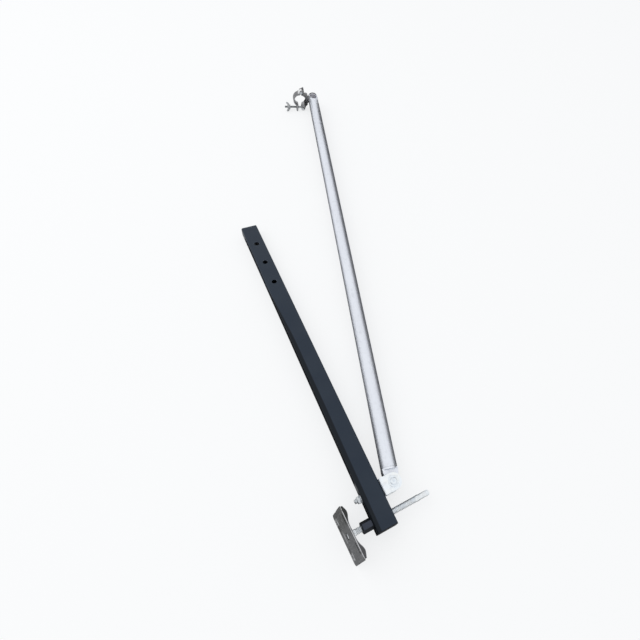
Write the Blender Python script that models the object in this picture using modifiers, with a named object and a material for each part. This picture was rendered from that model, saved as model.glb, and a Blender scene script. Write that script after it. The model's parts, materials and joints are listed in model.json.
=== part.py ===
# Stabiliser outrigger of a lighting truss tower: a square-section arm with a screw jack and a swivelling
# foot, and a round brace that ends in a half coupler. It lies on the floor the way it does in the photograph.
# Every size below is in millimetres, and the scene is in metres.
import math

import bmesh
import bpy
from mathutils import Matrix, Vector

MM = 0.001
GAP = 0.3

# Arm: X across it towards the brace, Y along it from the foot end, Z square to its side face.
ARM_LENGTH = 1170.0
ARM_WIDTH = 60.0
ARM_DEPTH = 40.0
ARM_WALL = 3.0
ARM_CORNER = 6.0
CAP_FACE = 2.0
PIN_HOLE = 9.0
PIN_FIRST = 99.0
PIN_PITCH = 100.0
PIN_COUNT = 3

# Jack
JACK_Y = 31.5
SPINDLE_RADIUS = 8.0
SLEEVE_NECK = SPINDLE_RADIUS + 4.0
SLEEVE_RADIUS = SPINDLE_RADIUS + 7.0
THREAD_PITCH = 4.0
THREAD_DEPTH = 1.4
SPINDLE_TIP = 145.0
BALL_X = -89.0
BALL_RADIUS = 13.0
PAD_LENGTH = 134.0
PAD_WIDTH = 111.0
PAD_THICK = 3.0
PAD_HUMP = 9.0
PAD_TILT_Y = math.radians(8.0)
PAD_TILT_Z = math.radians(3.0)

# Bracket and brace
BOLT_Y = 96.0
PIVOT_X = ARM_WIDTH / 2 + 35.0
BRACKET_RADIUS = 23.0
BRACKET_HALF = 25.0
BRACKET_WALL = 5.0
M12 = 6.0
FOLD_REST = math.radians(15.33)
SWIVEL_REST = math.radians(3.066)
TUBE_RADIUS = 24.15
TUBE_WALL = 3.0
TUBE_START = 40.0
TUBE_END = 1862.0

# Half coupler: its bore, and the centre of its ring from the tube's axis
COUPLER_Y = TUBE_END - 16.0
RING_BORE = 25.5
RING_OUTER = RING_BORE + 6.5
RING_BACK = RING_BORE + 10.5
RING_OFFSET = TUBE_RADIUS + RING_BACK + 3.35
COUPLER_HALF = 16.0
HINGE = (-4.0, RING_BORE + 12.5)
EYE_PIN = (-13.0, -RING_BORE - 16.5)
FLAP_REST = math.radians(6.0)
NUT_REST = 66.5
WING_REST = math.radians(65.0)

# How it lies: the pad's edge, the end of the pivot bolt, the arm's far end and the flap's lug touch the floor.
ROLL = math.radians(5.757)
PITCH = math.radians(-1.193)

for old in list(bpy.data.objects):
    bpy.data.objects.remove(old, do_unlink=True)

scene = bpy.context.scene
scene.unit_settings.system = "METRIC"
PARTS = bpy.data.collections.new("Truss tower outrigger")
CUTTERS = bpy.data.collections.new("Cutters")
scene.collection.children.link(PARTS)
scene.collection.children.link(CUTTERS)
CUTTERS.hide_render = True

FINISH = {
    "black_coat": ((0.028, 0.032, 0.040, 1.0), 0.0, 0.45),
    "black_plastic": ((0.015, 0.015, 0.016, 1.0), 0.0, 0.55),
    "zinc": ((0.72, 0.73, 0.74, 1.0), 0.9, 0.32),
    "aluminium": ((0.78, 0.79, 0.81, 1.0), 0.9, 0.38),
    "pressed_steel": ((0.22, 0.22, 0.23, 1.0), 0.7, 0.5),
    "coupler_steel": ((0.11, 0.11, 0.11, 1.0), 0.7, 0.5),
}


def frame(name, parent, matrix):
    """An empty on a joint's axis, given in millimetres in its parent's frame."""
    empty = bpy.data.objects.new(name, None)
    PARTS.objects.link(empty)
    empty.empty_display_size = 0.02
    empty.parent = parent
    matrix = matrix.copy()
    matrix.translation = matrix.translation * MM
    empty.matrix_local = matrix
    return empty


def at(x, y, z):
    return Matrix.Translation((x, y, z))


def turn(angle, axis):
    return Matrix.Rotation(angle, 4, axis)


def mark_sharp(bm, limit=math.radians(32)):
    for face in bm.faces:
        face.smooth = True
    for edge in bm.edges:
        edge.smooth = len(edge.link_faces) == 2 and edge.calc_face_angle(0.0) < limit


def place(name, bm, home, finish, collection=None):
    """Turns a bmesh in millimetres into an object at its parent's origin."""
    bmesh.ops.remove_doubles(bm, verts=bm.verts, dist=0.005)
    bmesh.ops.recalc_face_normals(bm, faces=bm.faces)
    bmesh.ops.scale(bm, vec=(MM, MM, MM), verts=bm.verts)
    mark_sharp(bm)
    mesh = bpy.data.meshes.new(name)
    bm.to_mesh(mesh)
    bm.free()
    obj = bpy.data.objects.new(name, mesh)
    (collection or PARTS).objects.link(obj)
    obj.parent = home
    if finish:
        colour, metallic, roughness = FINISH[finish]
        material = bpy.data.materials.new(name)
        material.use_nodes = True
        shader = material.node_tree.nodes["Principled BSDF"]
        shader.inputs["Base Color"].default_value = colour
        shader.inputs["Metallic"].default_value = metallic
        shader.inputs["Roughness"].default_value = roughness
        material.diffuse_color = colour
        mesh.materials.append(material)
    else:
        obj.hide_render = True
        obj.display_type = "WIRE"
    return obj


def skin(loops, closed):
    """A surface through loops of equally many points. Closed joins the last to the first, else both are capped."""
    bm = bmesh.new()
    rows = [[bm.verts.new(point) for point in loop] for loop in loops]
    count = len(loops[0])
    pairs = list(zip(rows, rows[1:]))
    if closed:
        pairs.append((rows[-1], rows[0]))
    for low, high in pairs:
        for i in range(count):
            j = (i + 1) % count
            bm.faces.new((low[i], low[j], high[j], high[i]))
    if not closed:
        bm.faces.new(rows[0][::-1])
        bm.faces.new(rows[-1])
    return bm


def along(axis, a, b, c):
    """The point at a, b across an axis and c along it."""
    if axis == "X":
        return Vector((c, a, b))
    if axis == "Y":
        return Vector((b, c, a))
    return Vector((a, b, c))


def circle(radius, height, sides=24, axis="Z", centre=(0.0, 0.0), curve=None):
    """One ring. radius and curve, which adds to the height, may be functions of the angle."""
    points = []
    for i in range(sides):
        angle = 2 * math.pi * i / sides
        r = radius(angle) if callable(radius) else radius
        extra = curve(angle) if curve else 0.0
        a = centre[0] + r * math.cos(angle)
        b = centre[1] + r * math.sin(angle)
        points.append(along(axis, a, b, height + extra))
    return points


def turned(profile, sides=24, axis="Z", closed=True, centre=(0.0, 0.0)):
    """A turned shape through (radius, height) points. An open profile gets flat ends."""
    return skin([circle(r, h, sides, axis, centre) for r, h in profile], closed)


def hexagon(across):
    """The radius of a hexagon as a function of the angle."""
    def radius(angle):
        within = (angle + math.pi / 6) % (math.pi / 3) - math.pi / 6
        return across / 2 / math.cos(within)
    return radius


def slab(outline, low, high, axis="Z"):
    """An outline of points across the axis, extruded along it."""
    loops = [[along(axis, a, b, height) for a, b in outline] for height in (low, high)]
    return skin(loops, False)


def arc(centre, radius, start, end, steps):
    """Points on an arc, with its angles in degrees."""
    points = []
    for i in range(steps + 1):
        angle = math.radians(start + (end - start) * i / steps)
        points.append((centre[0] + radius * math.cos(angle), centre[1] + radius * math.sin(angle)))
    return points


def rounded(half_a, half_b, radius, steps=4):
    """A rectangle with round corners."""
    points = []
    for sa, sb, start in ((1, 1, 0), (-1, 1, 90), (-1, -1, 180), (1, -1, 270)):
        points += arc((sa * (half_a - radius), sb * (half_b - radius)), radius, start, start + 90, steps)
    return points


def rod(radius, low, high, axis="Z", centre=(0.0, 0.0), sides=24):
    return turned([(radius, low), (radius, high)], sides, axis, False, centre)


def block(x, y, z):
    return slab([(x[0], y[0]), (x[1], y[0]), (x[1], y[1]), (x[0], y[1])], z[0], z[1])


def boolean(obj, bm, name, operation="DIFFERENCE"):
    """Cuts a shape from an object, or joins it on, in the object's own frame."""
    cutter = place(name, bm, obj.parent, None, CUTTERS)
    modifier = obj.modifiers.new(name, "BOOLEAN")
    modifier.operation = operation
    modifier.solver = "EXACT"
    modifier.object = cutter
    return cutter


def bevel(obj, width, segments=2, angle=40):
    modifier = obj.modifiers.new("edges", "BEVEL")
    modifier.width = width * MM
    modifier.segments = segments
    modifier.limit_method = "ANGLE"
    modifier.angle_limit = math.radians(angle)
    modifier.harden_normals = False
    return modifier


def nut(across, low, high, bore, axis="Z", centre=(0.0, 0.0)):
    """A hexagon nut with chamfered ends."""
    cut = 1.2
    flat, six = across / 2 * 0.98, hexagon(across)
    rings = [(flat, low), (six, low + cut), (six, high - cut), (flat, high), (bore, high), (bore, low)]
    return skin([circle(r, h, 24, axis, centre) for r, h in rings], True)


def hex_bolt(across, head, shank, end, axis="Z"):
    """Head from head[0], its bearing face, to head[1], then a shank to end."""
    way = 1 if head[1] > head[0] else -1
    six = hexagon(across)
    rings = [
        (across / 2 * 0.9, head[1]),
        (six, head[1] - way * 1.4),
        (six, head[0]),
        (shank, head[0]),
        (shank, end + way * 1.2),
        (shank - 1.2, end),
    ]
    return skin([circle(r, h, 24, axis) for r, h in rings], False)


# The joints' axes
stand = frame("stand", None, Matrix.Identity(4))
jack = frame("jack_axis", stand, at(0, JACK_Y, 0) @ turn(math.pi / 2, "Y"))
foot = frame(
    "foot_joint",
    stand,
    at(BALL_X, JACK_Y, 0) @ turn(PAD_TILT_Z, "Z") @ turn(PAD_TILT_Y, "Y") @ turn(math.pi / 2, "Y"),
)
clamped = frame("bracket_bolt_axis", stand, at(0, BOLT_Y, 0))
swivel = frame("bracket_axis", stand, at(0, BOLT_Y, 0) @ turn(SWIVEL_REST, "X"))
hinge_pin = frame("pivot_bolt_axis", swivel, at(PIVOT_X, 0, 0))
pivot = frame("pivot_axis", swivel, at(PIVOT_X, 0, 0) @ turn(-FOLD_REST, "Z"))
coupler = frame("coupler_axis", pivot, at(0, COUPLER_Y, 0) @ turn(math.pi, "Z"))
flap_axis = frame("flap_axis", coupler, at(RING_OFFSET + HINGE[0], 0, HINGE[1]) @ turn(-FLAP_REST, "Y"))
eye_axis = frame("eye_axis", coupler, at(RING_OFFSET + EYE_PIN[0], 0, EYE_PIN[1]))
wing_axis = frame("wing_axis", eye_axis, at(NUT_REST, 0, 0) @ turn(math.pi / 2, "Y") @ turn(WING_REST, "Z"))

# Arm
ARM_START = CAP_FACE + GAP
ARM_END = CAP_FACE + ARM_LENGTH
ARM_SIDE = ARM_WIDTH / 2
outer = rounded(ARM_SIDE, ARM_DEPTH / 2, ARM_CORNER)
inner = rounded(ARM_SIDE - ARM_WALL, ARM_DEPTH / 2 - ARM_WALL, ARM_CORNER - ARM_WALL)


def across_arm(outline, y):
    return [Vector((x, y, z)) for x, z in outline]


arm_loops = [
    across_arm(outer, ARM_START),
    across_arm(outer, ARM_END),
    across_arm(inner, ARM_END),
    across_arm(inner, ARM_START),
]
arm = place("outrigger_arm", skin(arm_loops, True), stand, "black_coat")
for k in range(PIN_COUNT):
    hole = rod(PIN_HOLE, -ARM_DEPTH, ARM_DEPTH, "Z", (0.0, ARM_END - PIN_FIRST - k * PIN_PITCH), 28)
    boolean(arm, hole, "cut_pin_hole_%d" % (k + 1))
boolean(arm, rod(SLEEVE_NECK + GAP, -ARM_SIDE - 10, 10 - ARM_SIDE, "X", (JACK_Y, 0.0)), "cut_sleeve_hole")
boolean(arm, rod(SPINDLE_RADIUS + 0.6, ARM_SIDE - 10, ARM_SIDE + 10, "X", (JACK_Y, 0.0)), "cut_spindle_hole")
boolean(arm, rod(M12 + 0.4, -ARM_SIDE - 10, ARM_SIDE + 10, "X", (BOLT_Y, 0.0)), "cut_bracket_bolt_hole")

def inset(depth, corner):
    """The arm's outline, drawn in by a depth."""
    return rounded(ARM_SIDE - depth, ARM_DEPTH / 2 - depth, corner)


plug_outer = inset(ARM_WALL + GAP, 2.8)
plug_inner = inset(ARM_WALL + GAP + 2.4, 1.5)
cap_loops = [
    across_arm(inset(0.8, ARM_CORNER - 0.6), 0.0),
    across_arm(outer, 0.8),
    across_arm(outer, CAP_FACE),
    across_arm(plug_outer, CAP_FACE),
    across_arm(plug_outer, CAP_FACE + 12.0),
    across_arm(plug_inner, CAP_FACE + 12.0),
    across_arm(plug_inner, CAP_FACE + 0.6),
]
place("foot_end_cap", skin(cap_loops, False), stand, "black_plastic")

# Jack, along its own Z, which is the arm's X
sleeve_bore = SPINDLE_RADIUS + GAP
sleeve_top = ARM_SIDE - ARM_WALL - GAP
sleeve_step = -ARM_SIDE - GAP
sleeve_end = -ARM_SIDE - 30.0
sleeve_profile = [
    (SLEEVE_NECK, sleeve_top), (SLEEVE_NECK, sleeve_step), (SLEEVE_RADIUS, sleeve_step),
    (SLEEVE_RADIUS, sleeve_end + 3.5), (SLEEVE_RADIUS - 0.7, sleeve_end + 1.2),
    (SLEEVE_RADIUS - 2.2, sleeve_end), (sleeve_bore + 1.1, sleeve_end), (sleeve_bore, sleeve_end + 1.2),
    (sleeve_bore, sleeve_top),
]
place("jack_sleeve", turned(sleeve_profile), jack, "black_coat")


def threaded(before, low, high, after, pitch, crest, depth, sides=10):
    """A rod with a real trapezoidal thread from low to high, and turned ends before and after it."""
    bm = bmesh.new()
    root = crest - depth
    steps = [(0.0, root), (0.3, crest), (0.68, crest)]
    first = math.floor(low / pitch) - 1
    last = math.ceil(high / pitch) + 1
    cells = [(k * pitch + part * pitch, r) for k in range(first, last) for part, r in steps]

    def ring(radius, height):
        return [bm.verts.new(point) for point in circle(radius, height, sides)]

    columns = []
    for i in range(sides + 1):
        angle = 2 * math.pi * i / sides
        shift = pitch * i / sides
        column = []
        for height, r in cells:
            z = height + shift
            if z <= low or z >= high:
                z = min(max(z, low), high)
                r = root
            fade = min((z - low) / pitch, (high - z) / pitch, 1.0)
            r = root + (r - root) * max(fade, 0.0)
            column.append((r * math.cos(angle), r * math.sin(angle), z))
        columns.append([bm.verts.new(point) for point in column])
    for left, right in zip(columns, columns[1:]):
        for k in range(len(cells) - 1):
            bm.faces.new((left[k], right[k], right[k + 1], left[k + 1]))
    rings = [ring(r, h) for r, h in before] + [ring(root, low)]
    tops = [ring(root, high)] + [ring(r, h) for r, h in after]
    for rows in (rings, tops):
        for a, b in zip(rows, rows[1:]):
            for i in range(sides):
                j = (i + 1) % sides
                bm.faces.new((a[i], a[j], b[j], b[i]))
    bm.faces.new(rings[0][::-1])
    bm.faces.new(tops[-1])
    bmesh.ops.remove_doubles(bm, verts=bm.verts, dist=0.01)
    bmesh.ops.dissolve_degenerate(bm, edges=bm.edges, dist=0.005)
    return bm


journal_end = BALL_X - 7.0
shoulder = BALL_X + 6.8
spindle_before = [
    (2.8, journal_end + 11.0), (2.8, journal_end), (4.4, journal_end), (5.0, journal_end + 0.6),
    (5.0, shoulder), (SPINDLE_RADIUS, shoulder), (SPINDLE_RADIUS, shoulder + 3.0),
]
thread_end = SPINDLE_TIP - 41.0
spindle_after = [
    (SPINDLE_RADIUS, thread_end + 1.0), (SPINDLE_RADIUS, thread_end + 7.0),
    (SPINDLE_RADIUS - 1.1, thread_end + 10.0),
    (SPINDLE_RADIUS - 2.5, SPINDLE_TIP - 1.5), (SPINDLE_RADIUS - 3.6, SPINDLE_TIP),
]
spindle = threaded(
    spindle_before, shoulder + 4.5, thread_end, spindle_after, THREAD_PITCH, SPINDLE_RADIUS, THREAD_DEPTH
)
place("jack_spindle", spindle, jack, "zinc")

screw_profile = [
    (2.5, journal_end + 9.5), (2.5, journal_end - GAP), (7.2, journal_end - GAP), (7.2, journal_end - 1.6),
    (5.8, journal_end - 2.6), (2.6, journal_end - 2.6), (2.6, journal_end - 1.2),
]
place("spindle_end_screw", turned(screw_profile, 24, "Z", False), jack, "zinc")

ball_profile = []
for k in range(7):
    height = -6.7 + 13.2 * k / 6
    ball_profile.append((math.sqrt(BALL_RADIUS**2 - height**2), BALL_X + height))
ball_profile += [(5.3, BALL_X + 6.5), (5.3, BALL_X - 6.7)]
place("pad_swivel_ball", turned(ball_profile), jack, "zinc")

# Foot pad, in the frame of the ball: local Z points to the arm, local X along the arm's -Z
SOLE = -10.3
half_w, half_l = PAD_WIDTH / 2, PAD_LENGTH / 2
pad = place("foot_pad", slab(rounded(half_w, half_l, 10.0, 3), SOLE, SOLE + PAD_THICK), foot, "pressed_steel")


def hump(height):
    """The outline of a flange that stands high near its ends and low in the middle."""
    points = [(-half_l + 3.0, SOLE + 0.6)]
    for k in range(17):
        y = -half_l + 3.0 + (2 * half_l - 6.0) * k / 16
        reach = abs(y) / half_l
        rise = math.exp(-(((reach - 0.70) / 0.24) ** 2))
        points.append((y, SOLE + PAD_THICK + 0.8 + (height - 0.8) * rise))
    points.append((half_l - 3.0, SOLE + 0.6))
    return points


for side in (-1, 1):
    a, b = sorted((side * half_w, side * (half_w - PAD_THICK)))
    flange = slab(hump(PAD_HUMP), a + 0.05, b - 0.05, "X")
    boolean(pad, flange, "join_flange_%s" % ("a" if side < 0 else "b"), "UNION")
cup = turned([
    (BALL_RADIUS + 6.5, SOLE + 1.0), (BALL_RADIUS + 5.0, SOLE + 7.0), (BALL_RADIUS + 3.4, 3.5),
    (5.0, 3.5), (5.0, SOLE + 1.0),
])
boolean(pad, cup, "join_cup", "UNION")
seat = []
seat_radius = BALL_RADIUS + 0.4
for k in range(13):
    height = SOLE + 0.4 + (seat_radius - SOLE - 0.75) * k / 12
    seat.append((math.sqrt(seat_radius**2 - height**2), height))
boolean(pad, turned([(9.6, SOLE - 1.0)] + seat, 32, "Z", False), "cut_ball_seat")
slot_x, slot_y = half_w - 13.5, half_l - 31.0
for k, (x, y) in enumerate(((slot_x, slot_y), (slot_x, -slot_y), (-slot_x, slot_y), (-slot_x, -slot_y))):
    capsule = arc((x, y + 11), 3.2, 0, 180, 6) + arc((x, y - 11), 3.2, 180, 360, 6)
    boolean(pad, slab(capsule, SOLE - 2, SOLE + 5), "cut_slot_%d" % (k + 1))
for side in (-1, 1):
    notch = rod(7.0, SOLE - 2, SOLE + 5, "Z", (8.0, side * (half_l + 3.0)), 20)
    boolean(pad, notch, "cut_notch_%s" % ("a" if side < 0 else "b"))

# Bracket, in the frame of its bolt: X is the arm's X
face_x = ARM_SIDE + GAP
base_x = face_x + BRACKET_WALL
side_outline = [(face_x, -BRACKET_RADIUS)]
side_outline += arc((PIVOT_X, 0), BRACKET_RADIUS, -90, 90, 16)
side_outline += [(face_x, BRACKET_RADIUS)]
bm = slab(side_outline, -BRACKET_HALF, BRACKET_HALF)
bends = []
for edge in bm.edges:
    near, far = edge.verts
    at_base = abs(near.co.x - face_x) < 0.01 and abs(far.co.x - face_x) < 0.01
    if at_base and abs(near.co.z - far.co.z) < 0.01:
        bends.append(edge)
bmesh.ops.bevel(bm, geom=bends, offset=6.0, segments=4, profile=0.5, affect="EDGES")
bracket = place("brace_bracket", bm, swivel, "zinc")
channel = slab(rounded(30.0, BRACKET_HALF - BRACKET_WALL, 2.5, 3), -40, 40)
bmesh.ops.rotate(channel, verts=channel.verts, matrix=turn(math.pi / 2, "X").to_3x3())
bmesh.ops.translate(channel, verts=channel.verts, vec=(base_x + 30.0, 0, 0))
boolean(bracket, channel, "cut_channel")
inside = BRACKET_HALF - BRACKET_WALL
boolean(bracket, block((base_x + 10, base_x + 105), (-40, 40), (-inside, inside)), "cut_mouth")
boolean(bracket, rod(M12 + 0.3, -40, 40, "Z", (PIVOT_X, 0.0)), "cut_pivot_hole")
boolean(bracket, rod(M12 + 0.3, face_x - 10, base_x + 10, "X"), "cut_bolt_hole")

bolt_head = base_x + GAP
place("bracket_bolt", hex_bolt(18, (bolt_head, bolt_head + 7.0), M12, -ARM_SIDE - 19.0, "X"), clamped, "zinc")
under = -ARM_SIDE - GAP
flat_washer = [(12, under), (12, under - 1.6), (6.4, under - 1.6), (6.4, under)]
place("bracket_washer", turned(flat_washer, 24, "X"), clamped, "zinc")
place("bracket_nut", nut(18, under - 11.0, under - 1.6 - GAP, M12 + 0.25, "X"), clamped, "zinc")

face_z = BRACKET_HALF + GAP
dome = [
    (2.4, face_z + 4.4), (2.4, face_z + 6.3), (6.0, face_z + 6.3), (8.6, face_z + 5.2),
    (10.2, face_z + 2.1 + GAP),
    (M12, face_z + 2.1 + GAP), (M12, -face_z - 11.5), (M12 - 1.2, -face_z - 12.6),
]
place("pivot_bolt", turned(dome, 24, "Z", False), hinge_pin, "zinc")
for name, low in (("pivot_washer_near", face_z), ("pivot_washer_far", -face_z - 2.1)):
    place(name, turned([(14.5, low + 2.1), (14.5, low), (6.4, low), (6.4, low + 2.1)]), hinge_pin, "zinc")
place("pivot_nut", nut(18, -face_z - 10.0, -face_z - 2.1 - GAP, M12 + 0.25), hinge_pin, "zinc")

# Brace, in the frame of the pivot: Y along it
TONGUE = inside - 4.0
for name, low in (("tongue_spacer_near", TONGUE + GAP), ("tongue_spacer_far", -inside + GAP)):
    high = low + inside - TONGUE - 2 * GAP
    place(name, turned([(15, high), (15, low), (6.4, low), (6.4, high)]), hinge_pin, "black_plastic")
tongue_outline = arc((0, 0), 17.5, -180, 0, 14)
tongue_outline += [(18.5, 14.0), (22.0, 27.0), (22.0, 37.5), (-22.0, 37.5), (-22.0, 27.0), (-18.5, 14.0)]
fitting = place("brace_end_fitting", slab(tongue_outline, -TONGUE, TONGUE), pivot, "aluminium")
tube_in = TUBE_RADIUS - TUBE_WALL
spigot_radius = tube_in - 0.25
collar_end = TUBE_START - GAP
spigot_profile = [
    (spigot_radius - 5.9, 90.0), (spigot_radius - 0.9, 90.0), (spigot_radius, 88.5),
    (spigot_radius, collar_end),
    (TUBE_RADIUS, collar_end), (TUBE_RADIUS, 34.0), (TUBE_RADIUS - 1.55, 32.5), (spigot_radius - 5.9, 32.5),
]
boolean(fitting, turned(spigot_profile, 40, "Y"), "join_spigot", "UNION")
boolean(fitting, rod(spigot_radius - 4.9, 33.0, 50.0, "Y", sides=40), "join_spigot_floor", "UNION")
boolean(fitting, rod(M12 + 0.3, -30, 30, "Z"), "cut_tongue_hole")
rivet_low, rivet_high = -TUBE_RADIUS - 6.0, -TUBE_RADIUS + 14.0
boolean(fitting, rod(3.2, rivet_low, rivet_high, "Z", (0.0, 70.0), 20), "cut_rivet_hole")

tube_profile = [(TUBE_RADIUS, TUBE_START), (TUBE_RADIUS, TUBE_END), (tube_in, TUBE_END), (tube_in, TUBE_START)]
tube = place("brace_tube", turned(tube_profile, 48, "Y"), pivot, "aluminium")
boolean(tube, rod(3.2, rivet_low, rivet_high, "Z", (0.0, 70.0), 20), "cut_tube_rivet_hole")
boolean(tube, rod(M12 + 0.4, -TUBE_RADIUS - 6, 9 - TUBE_RADIUS, "X", (COUPLER_Y, 0.0)), "cut_coupler_hole")
window = arc((0, TUBE_END - 31.0), 17.0, 180, 360, 16) + [(17.0, TUBE_END + 16.0), (-17.0, TUBE_END + 16.0)]
boolean(tube, slab(window, 8.0, TUBE_RADIUS + 16.0), "cut_access_window")
rivet = [(3.0, 7.55), (3.0, -0.35), (6.0, -0.35), (5.2, -2.05), (2.6, -2.95)]
bm = turned(rivet, 20, "Z", False)
bmesh.ops.translate(bm, verts=bm.verts, vec=(0, 70.0, -TUBE_RADIUS))
place("fitting_rivet", bm, pivot, "aluminium")
plug_profile = [
    (tube_in - 2.95, TUBE_END - 1.5), (tube_in - 2.95, TUBE_END - 5.0), (tube_in - 0.35, TUBE_END - 5.0),
    (tube_in - 0.35, TUBE_END + GAP), (TUBE_RADIUS, TUBE_END + GAP), (TUBE_RADIUS, TUBE_END + 1.4),
    (TUBE_RADIUS - 1.15, TUBE_END + 2.3),
]
place("brace_end_plug", turned(plug_profile, 40, "Y", False), pivot, "black_plastic")

# Half coupler, in the frame of its bolt: X from the tube to the ring, Z as the brace's Z
back = RING_OFFSET - RING_BACK
pocket = RING_OFFSET - RING_BORE - 7.6
place("coupler_bolt", hex_bolt(18, (pocket + GAP, pocket + 7.0), M12, 1.5, "X"), coupler, "zinc")


def hollow_to(radius, reach):
    """How far a tube's surface stands from its axis, around a ring of the given reach on that surface."""
    return lambda angle: math.sqrt(radius**2 - (reach * math.sin(angle)) ** 2)


on_tube = TUBE_RADIUS + GAP
in_tube = tube_in - GAP
spacer = [circle(16.0, back - GAP, 32, "X")]
spacer += [circle(r, 0.0, 32, "X", curve=hollow_to(on_tube, r)) for r in (16.0, 14.4, 12.6, 10.4, 8.4, 6.5)]
spacer.append(circle(6.5, back - GAP, 32, "X"))
place("tube_saddle_spacer", skin(spacer, True), coupler, "coupler_steel")
washer = [circle(r, 0.0, 32, "X", curve=hollow_to(in_tube, r)) for r in (6.4, 8.4, 10.4)]
washer += [circle(10.4, 14.9, 32, "X"), circle(6.4, 14.9, 32, "X")]
place("inner_saddle_washer", skin(washer, True), coupler, "zinc")
place("coupler_nut", nut(18, 5.0, 14.6, M12 + 0.25, "X"), coupler, "zinc")


def shifted(outline, dx=RING_OFFSET, dz=0.0):
    """An outline in the ring's own plane, moved to the frame it is built in, as (z, x) pairs for the Y axis."""
    return [(q + dz, p + dx) for p, q in outline]


saddle_outline = (
    arc((0, 0), RING_BORE, 98, 252, 18)
    + [(-6.2, -RING_BORE - 5.5)]
    + arc(EYE_PIN, 8.8, 20, -165, 12)
    + [(9.0 - RING_BACK, -RING_BORE - 3.5), (2.0 - RING_BACK, -22.0), (-RING_BACK, -19.0)]
    + [(-RING_BACK, 19.0), (2.0 - RING_BACK, 22.0), (8.0 - RING_BACK, 24.5)]
    + arc((0, 0), RING_OUTER, 132, 116, 3)
    + [(-15.2, HINGE[1] - 3.0), (-17.0, HINGE[1] + 8.5), (-15.6, HINGE[1] + 12.2), (-12.4, HINGE[1] + 13.2)]
    + arc(HINGE, 8.0, 100, -70, 12)
)
saddle_slab = slab(shifted(saddle_outline), -COUPLER_HALF, COUPLER_HALF, "Y")
saddle = place("coupler_saddle", saddle_slab, coupler, "coupler_steel")
bevel(saddle, 1.0)
hinge_slot = block((RING_OFFSET - 12.7, RING_OFFSET + 20), (-8.3, 8.3), (HINGE[1] - 8.6, HINGE[1] + 32))
boolean(saddle, hinge_slot, "cut_hinge_slot")
eye_slot = block((RING_OFFSET - 40, RING_OFFSET + 20), (-6.0, 6.0), (EYE_PIN[1] - 28, EYE_PIN[1] + 9.4))
boolean(saddle, eye_slot, "cut_eye_slot")
boolean(saddle, rod(M12 + 0.3, back - 5, pocket + 5, "X"), "cut_saddle_bolt_hole")
boolean(saddle, rod(11.6, pocket, RING_OFFSET, "X"), "cut_bolt_pocket")
boolean(saddle, rod(4.3, -30, 30, "Y", (HINGE[1], RING_OFFSET + HINGE[0]), 24), "cut_saddle_hinge_hole")
boolean(saddle, rod(4.3, -30, 30, "Y", (EYE_PIN[1], RING_OFFSET + EYE_PIN[0]), 24), "cut_saddle_eye_hole")

flap_outline = (
    arc((0, 0), RING_BORE, -80, 84, 18)
    + arc(HINGE, 8.0, -72, -340, 16)
    + [(9.0, HINGE[1] - 4.0)]
    + arc((0, 0), RING_OUTER, 62, -66, 18)
    + [(12.6, EYE_PIN[1] + 6.0), (11.4, EYE_PIN[1] - 12.0), (9.6, EYE_PIN[1] - 15.2)]
    + [(5.4, EYE_PIN[1] - 15.2), (3.8, EYE_PIN[1] - 12.0), (2.6, EYE_PIN[1] + 6.0)]
)
flap_slab = slab(shifted(flap_outline, -HINGE[0], -HINGE[1]), -COUPLER_HALF, COUPLER_HALF, "Y")
flap = place("coupler_flap", flap_slab, flap_axis, "coupler_steel")
bevel(flap, 1.0)
for side in (-1, 1):
    low, high = sorted((side * 7.95, side * 20.0))
    boolean(flap, rod(8.9, low, high, "Y", (0.0, 0.0), 28), "cut_knuckle_%s" % ("a" if side < 0 else "b"))
fork_top = EYE_PIN[1] + 7.2 - HINGE[1]
boolean(flap, block((-20, 40), (-6.0, 6.0), (fork_top - 47, fork_top)), "cut_fork")
boolean(flap, rod(4.3, -30, 30, "Y", (0.0, 0.0), 24), "cut_flap_hinge_hole")


def rivet_pin(half):
    """A pin with a domed head on each end, along Y."""
    head = [(2.6, half + 2.6), (5.6, half + 1.6), (6.2, half), (4.0, half)]
    rings = [(r, -h) for r, h in head] + [(r, h) for r, h in reversed(head)]
    return turned(rings, 24, "Y", False)


pin_half = COUPLER_HALF + GAP
for name, spot in (("flap_pin", HINGE), ("eye_bolt_pin", EYE_PIN)):
    bm = rivet_pin(pin_half)
    bmesh.ops.translate(bm, verts=bm.verts, vec=(RING_OFFSET + spot[0], 0, spot[1]))
    place(name, bm, coupler, "zinc")

shank = turned([(5.0, 5.5), (5.0, 89.6), (4.0, 91.0)], 28, "X", False)
eye_bolt = place("eye_bolt", shank, eye_axis, "zinc")
eye = turned([(7.6, -5.6), (8.5, -4.8), (8.5, 4.8), (7.6, 5.6)], 28, "Y", False)
boolean(eye_bolt, eye, "join_eye", "UNION")
boolean(eye_bolt, rod(4.3, -10, 10, "Y", (0.0, 0.0), 24), "cut_eye")
place("clamp_washer", turned([(11.5, -0.3), (11.5, -2.3), (5.5, -2.3), (5.5, -0.3)]), wing_axis, "zinc")
hub = turned([(5.4, 0.0), (9.0, 0.0), (9.0, 5.0), (7.4, 12.0), (5.4, 12.0)], 28)
wing_nut = place("wing_nut", hub, wing_axis, "zinc")
wing = [
    (6.6, 1.0), (17.0, 3.6), (24.0, 9.0), (26.0, 15.0), (24.2, 18.6), (20.0, 18.8), (14.5, 14.5), (6.6, 10.5),
]
for side in (-1, 1):
    points = [(side * a, b) for a, b in wing]
    bm = slab([(b, a) for a, b in points], -2.2, 2.2, "Y")
    boolean(wing_nut, bm, "join_wing_%s" % ("a" if side < 0 else "b"), "UNION")

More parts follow.
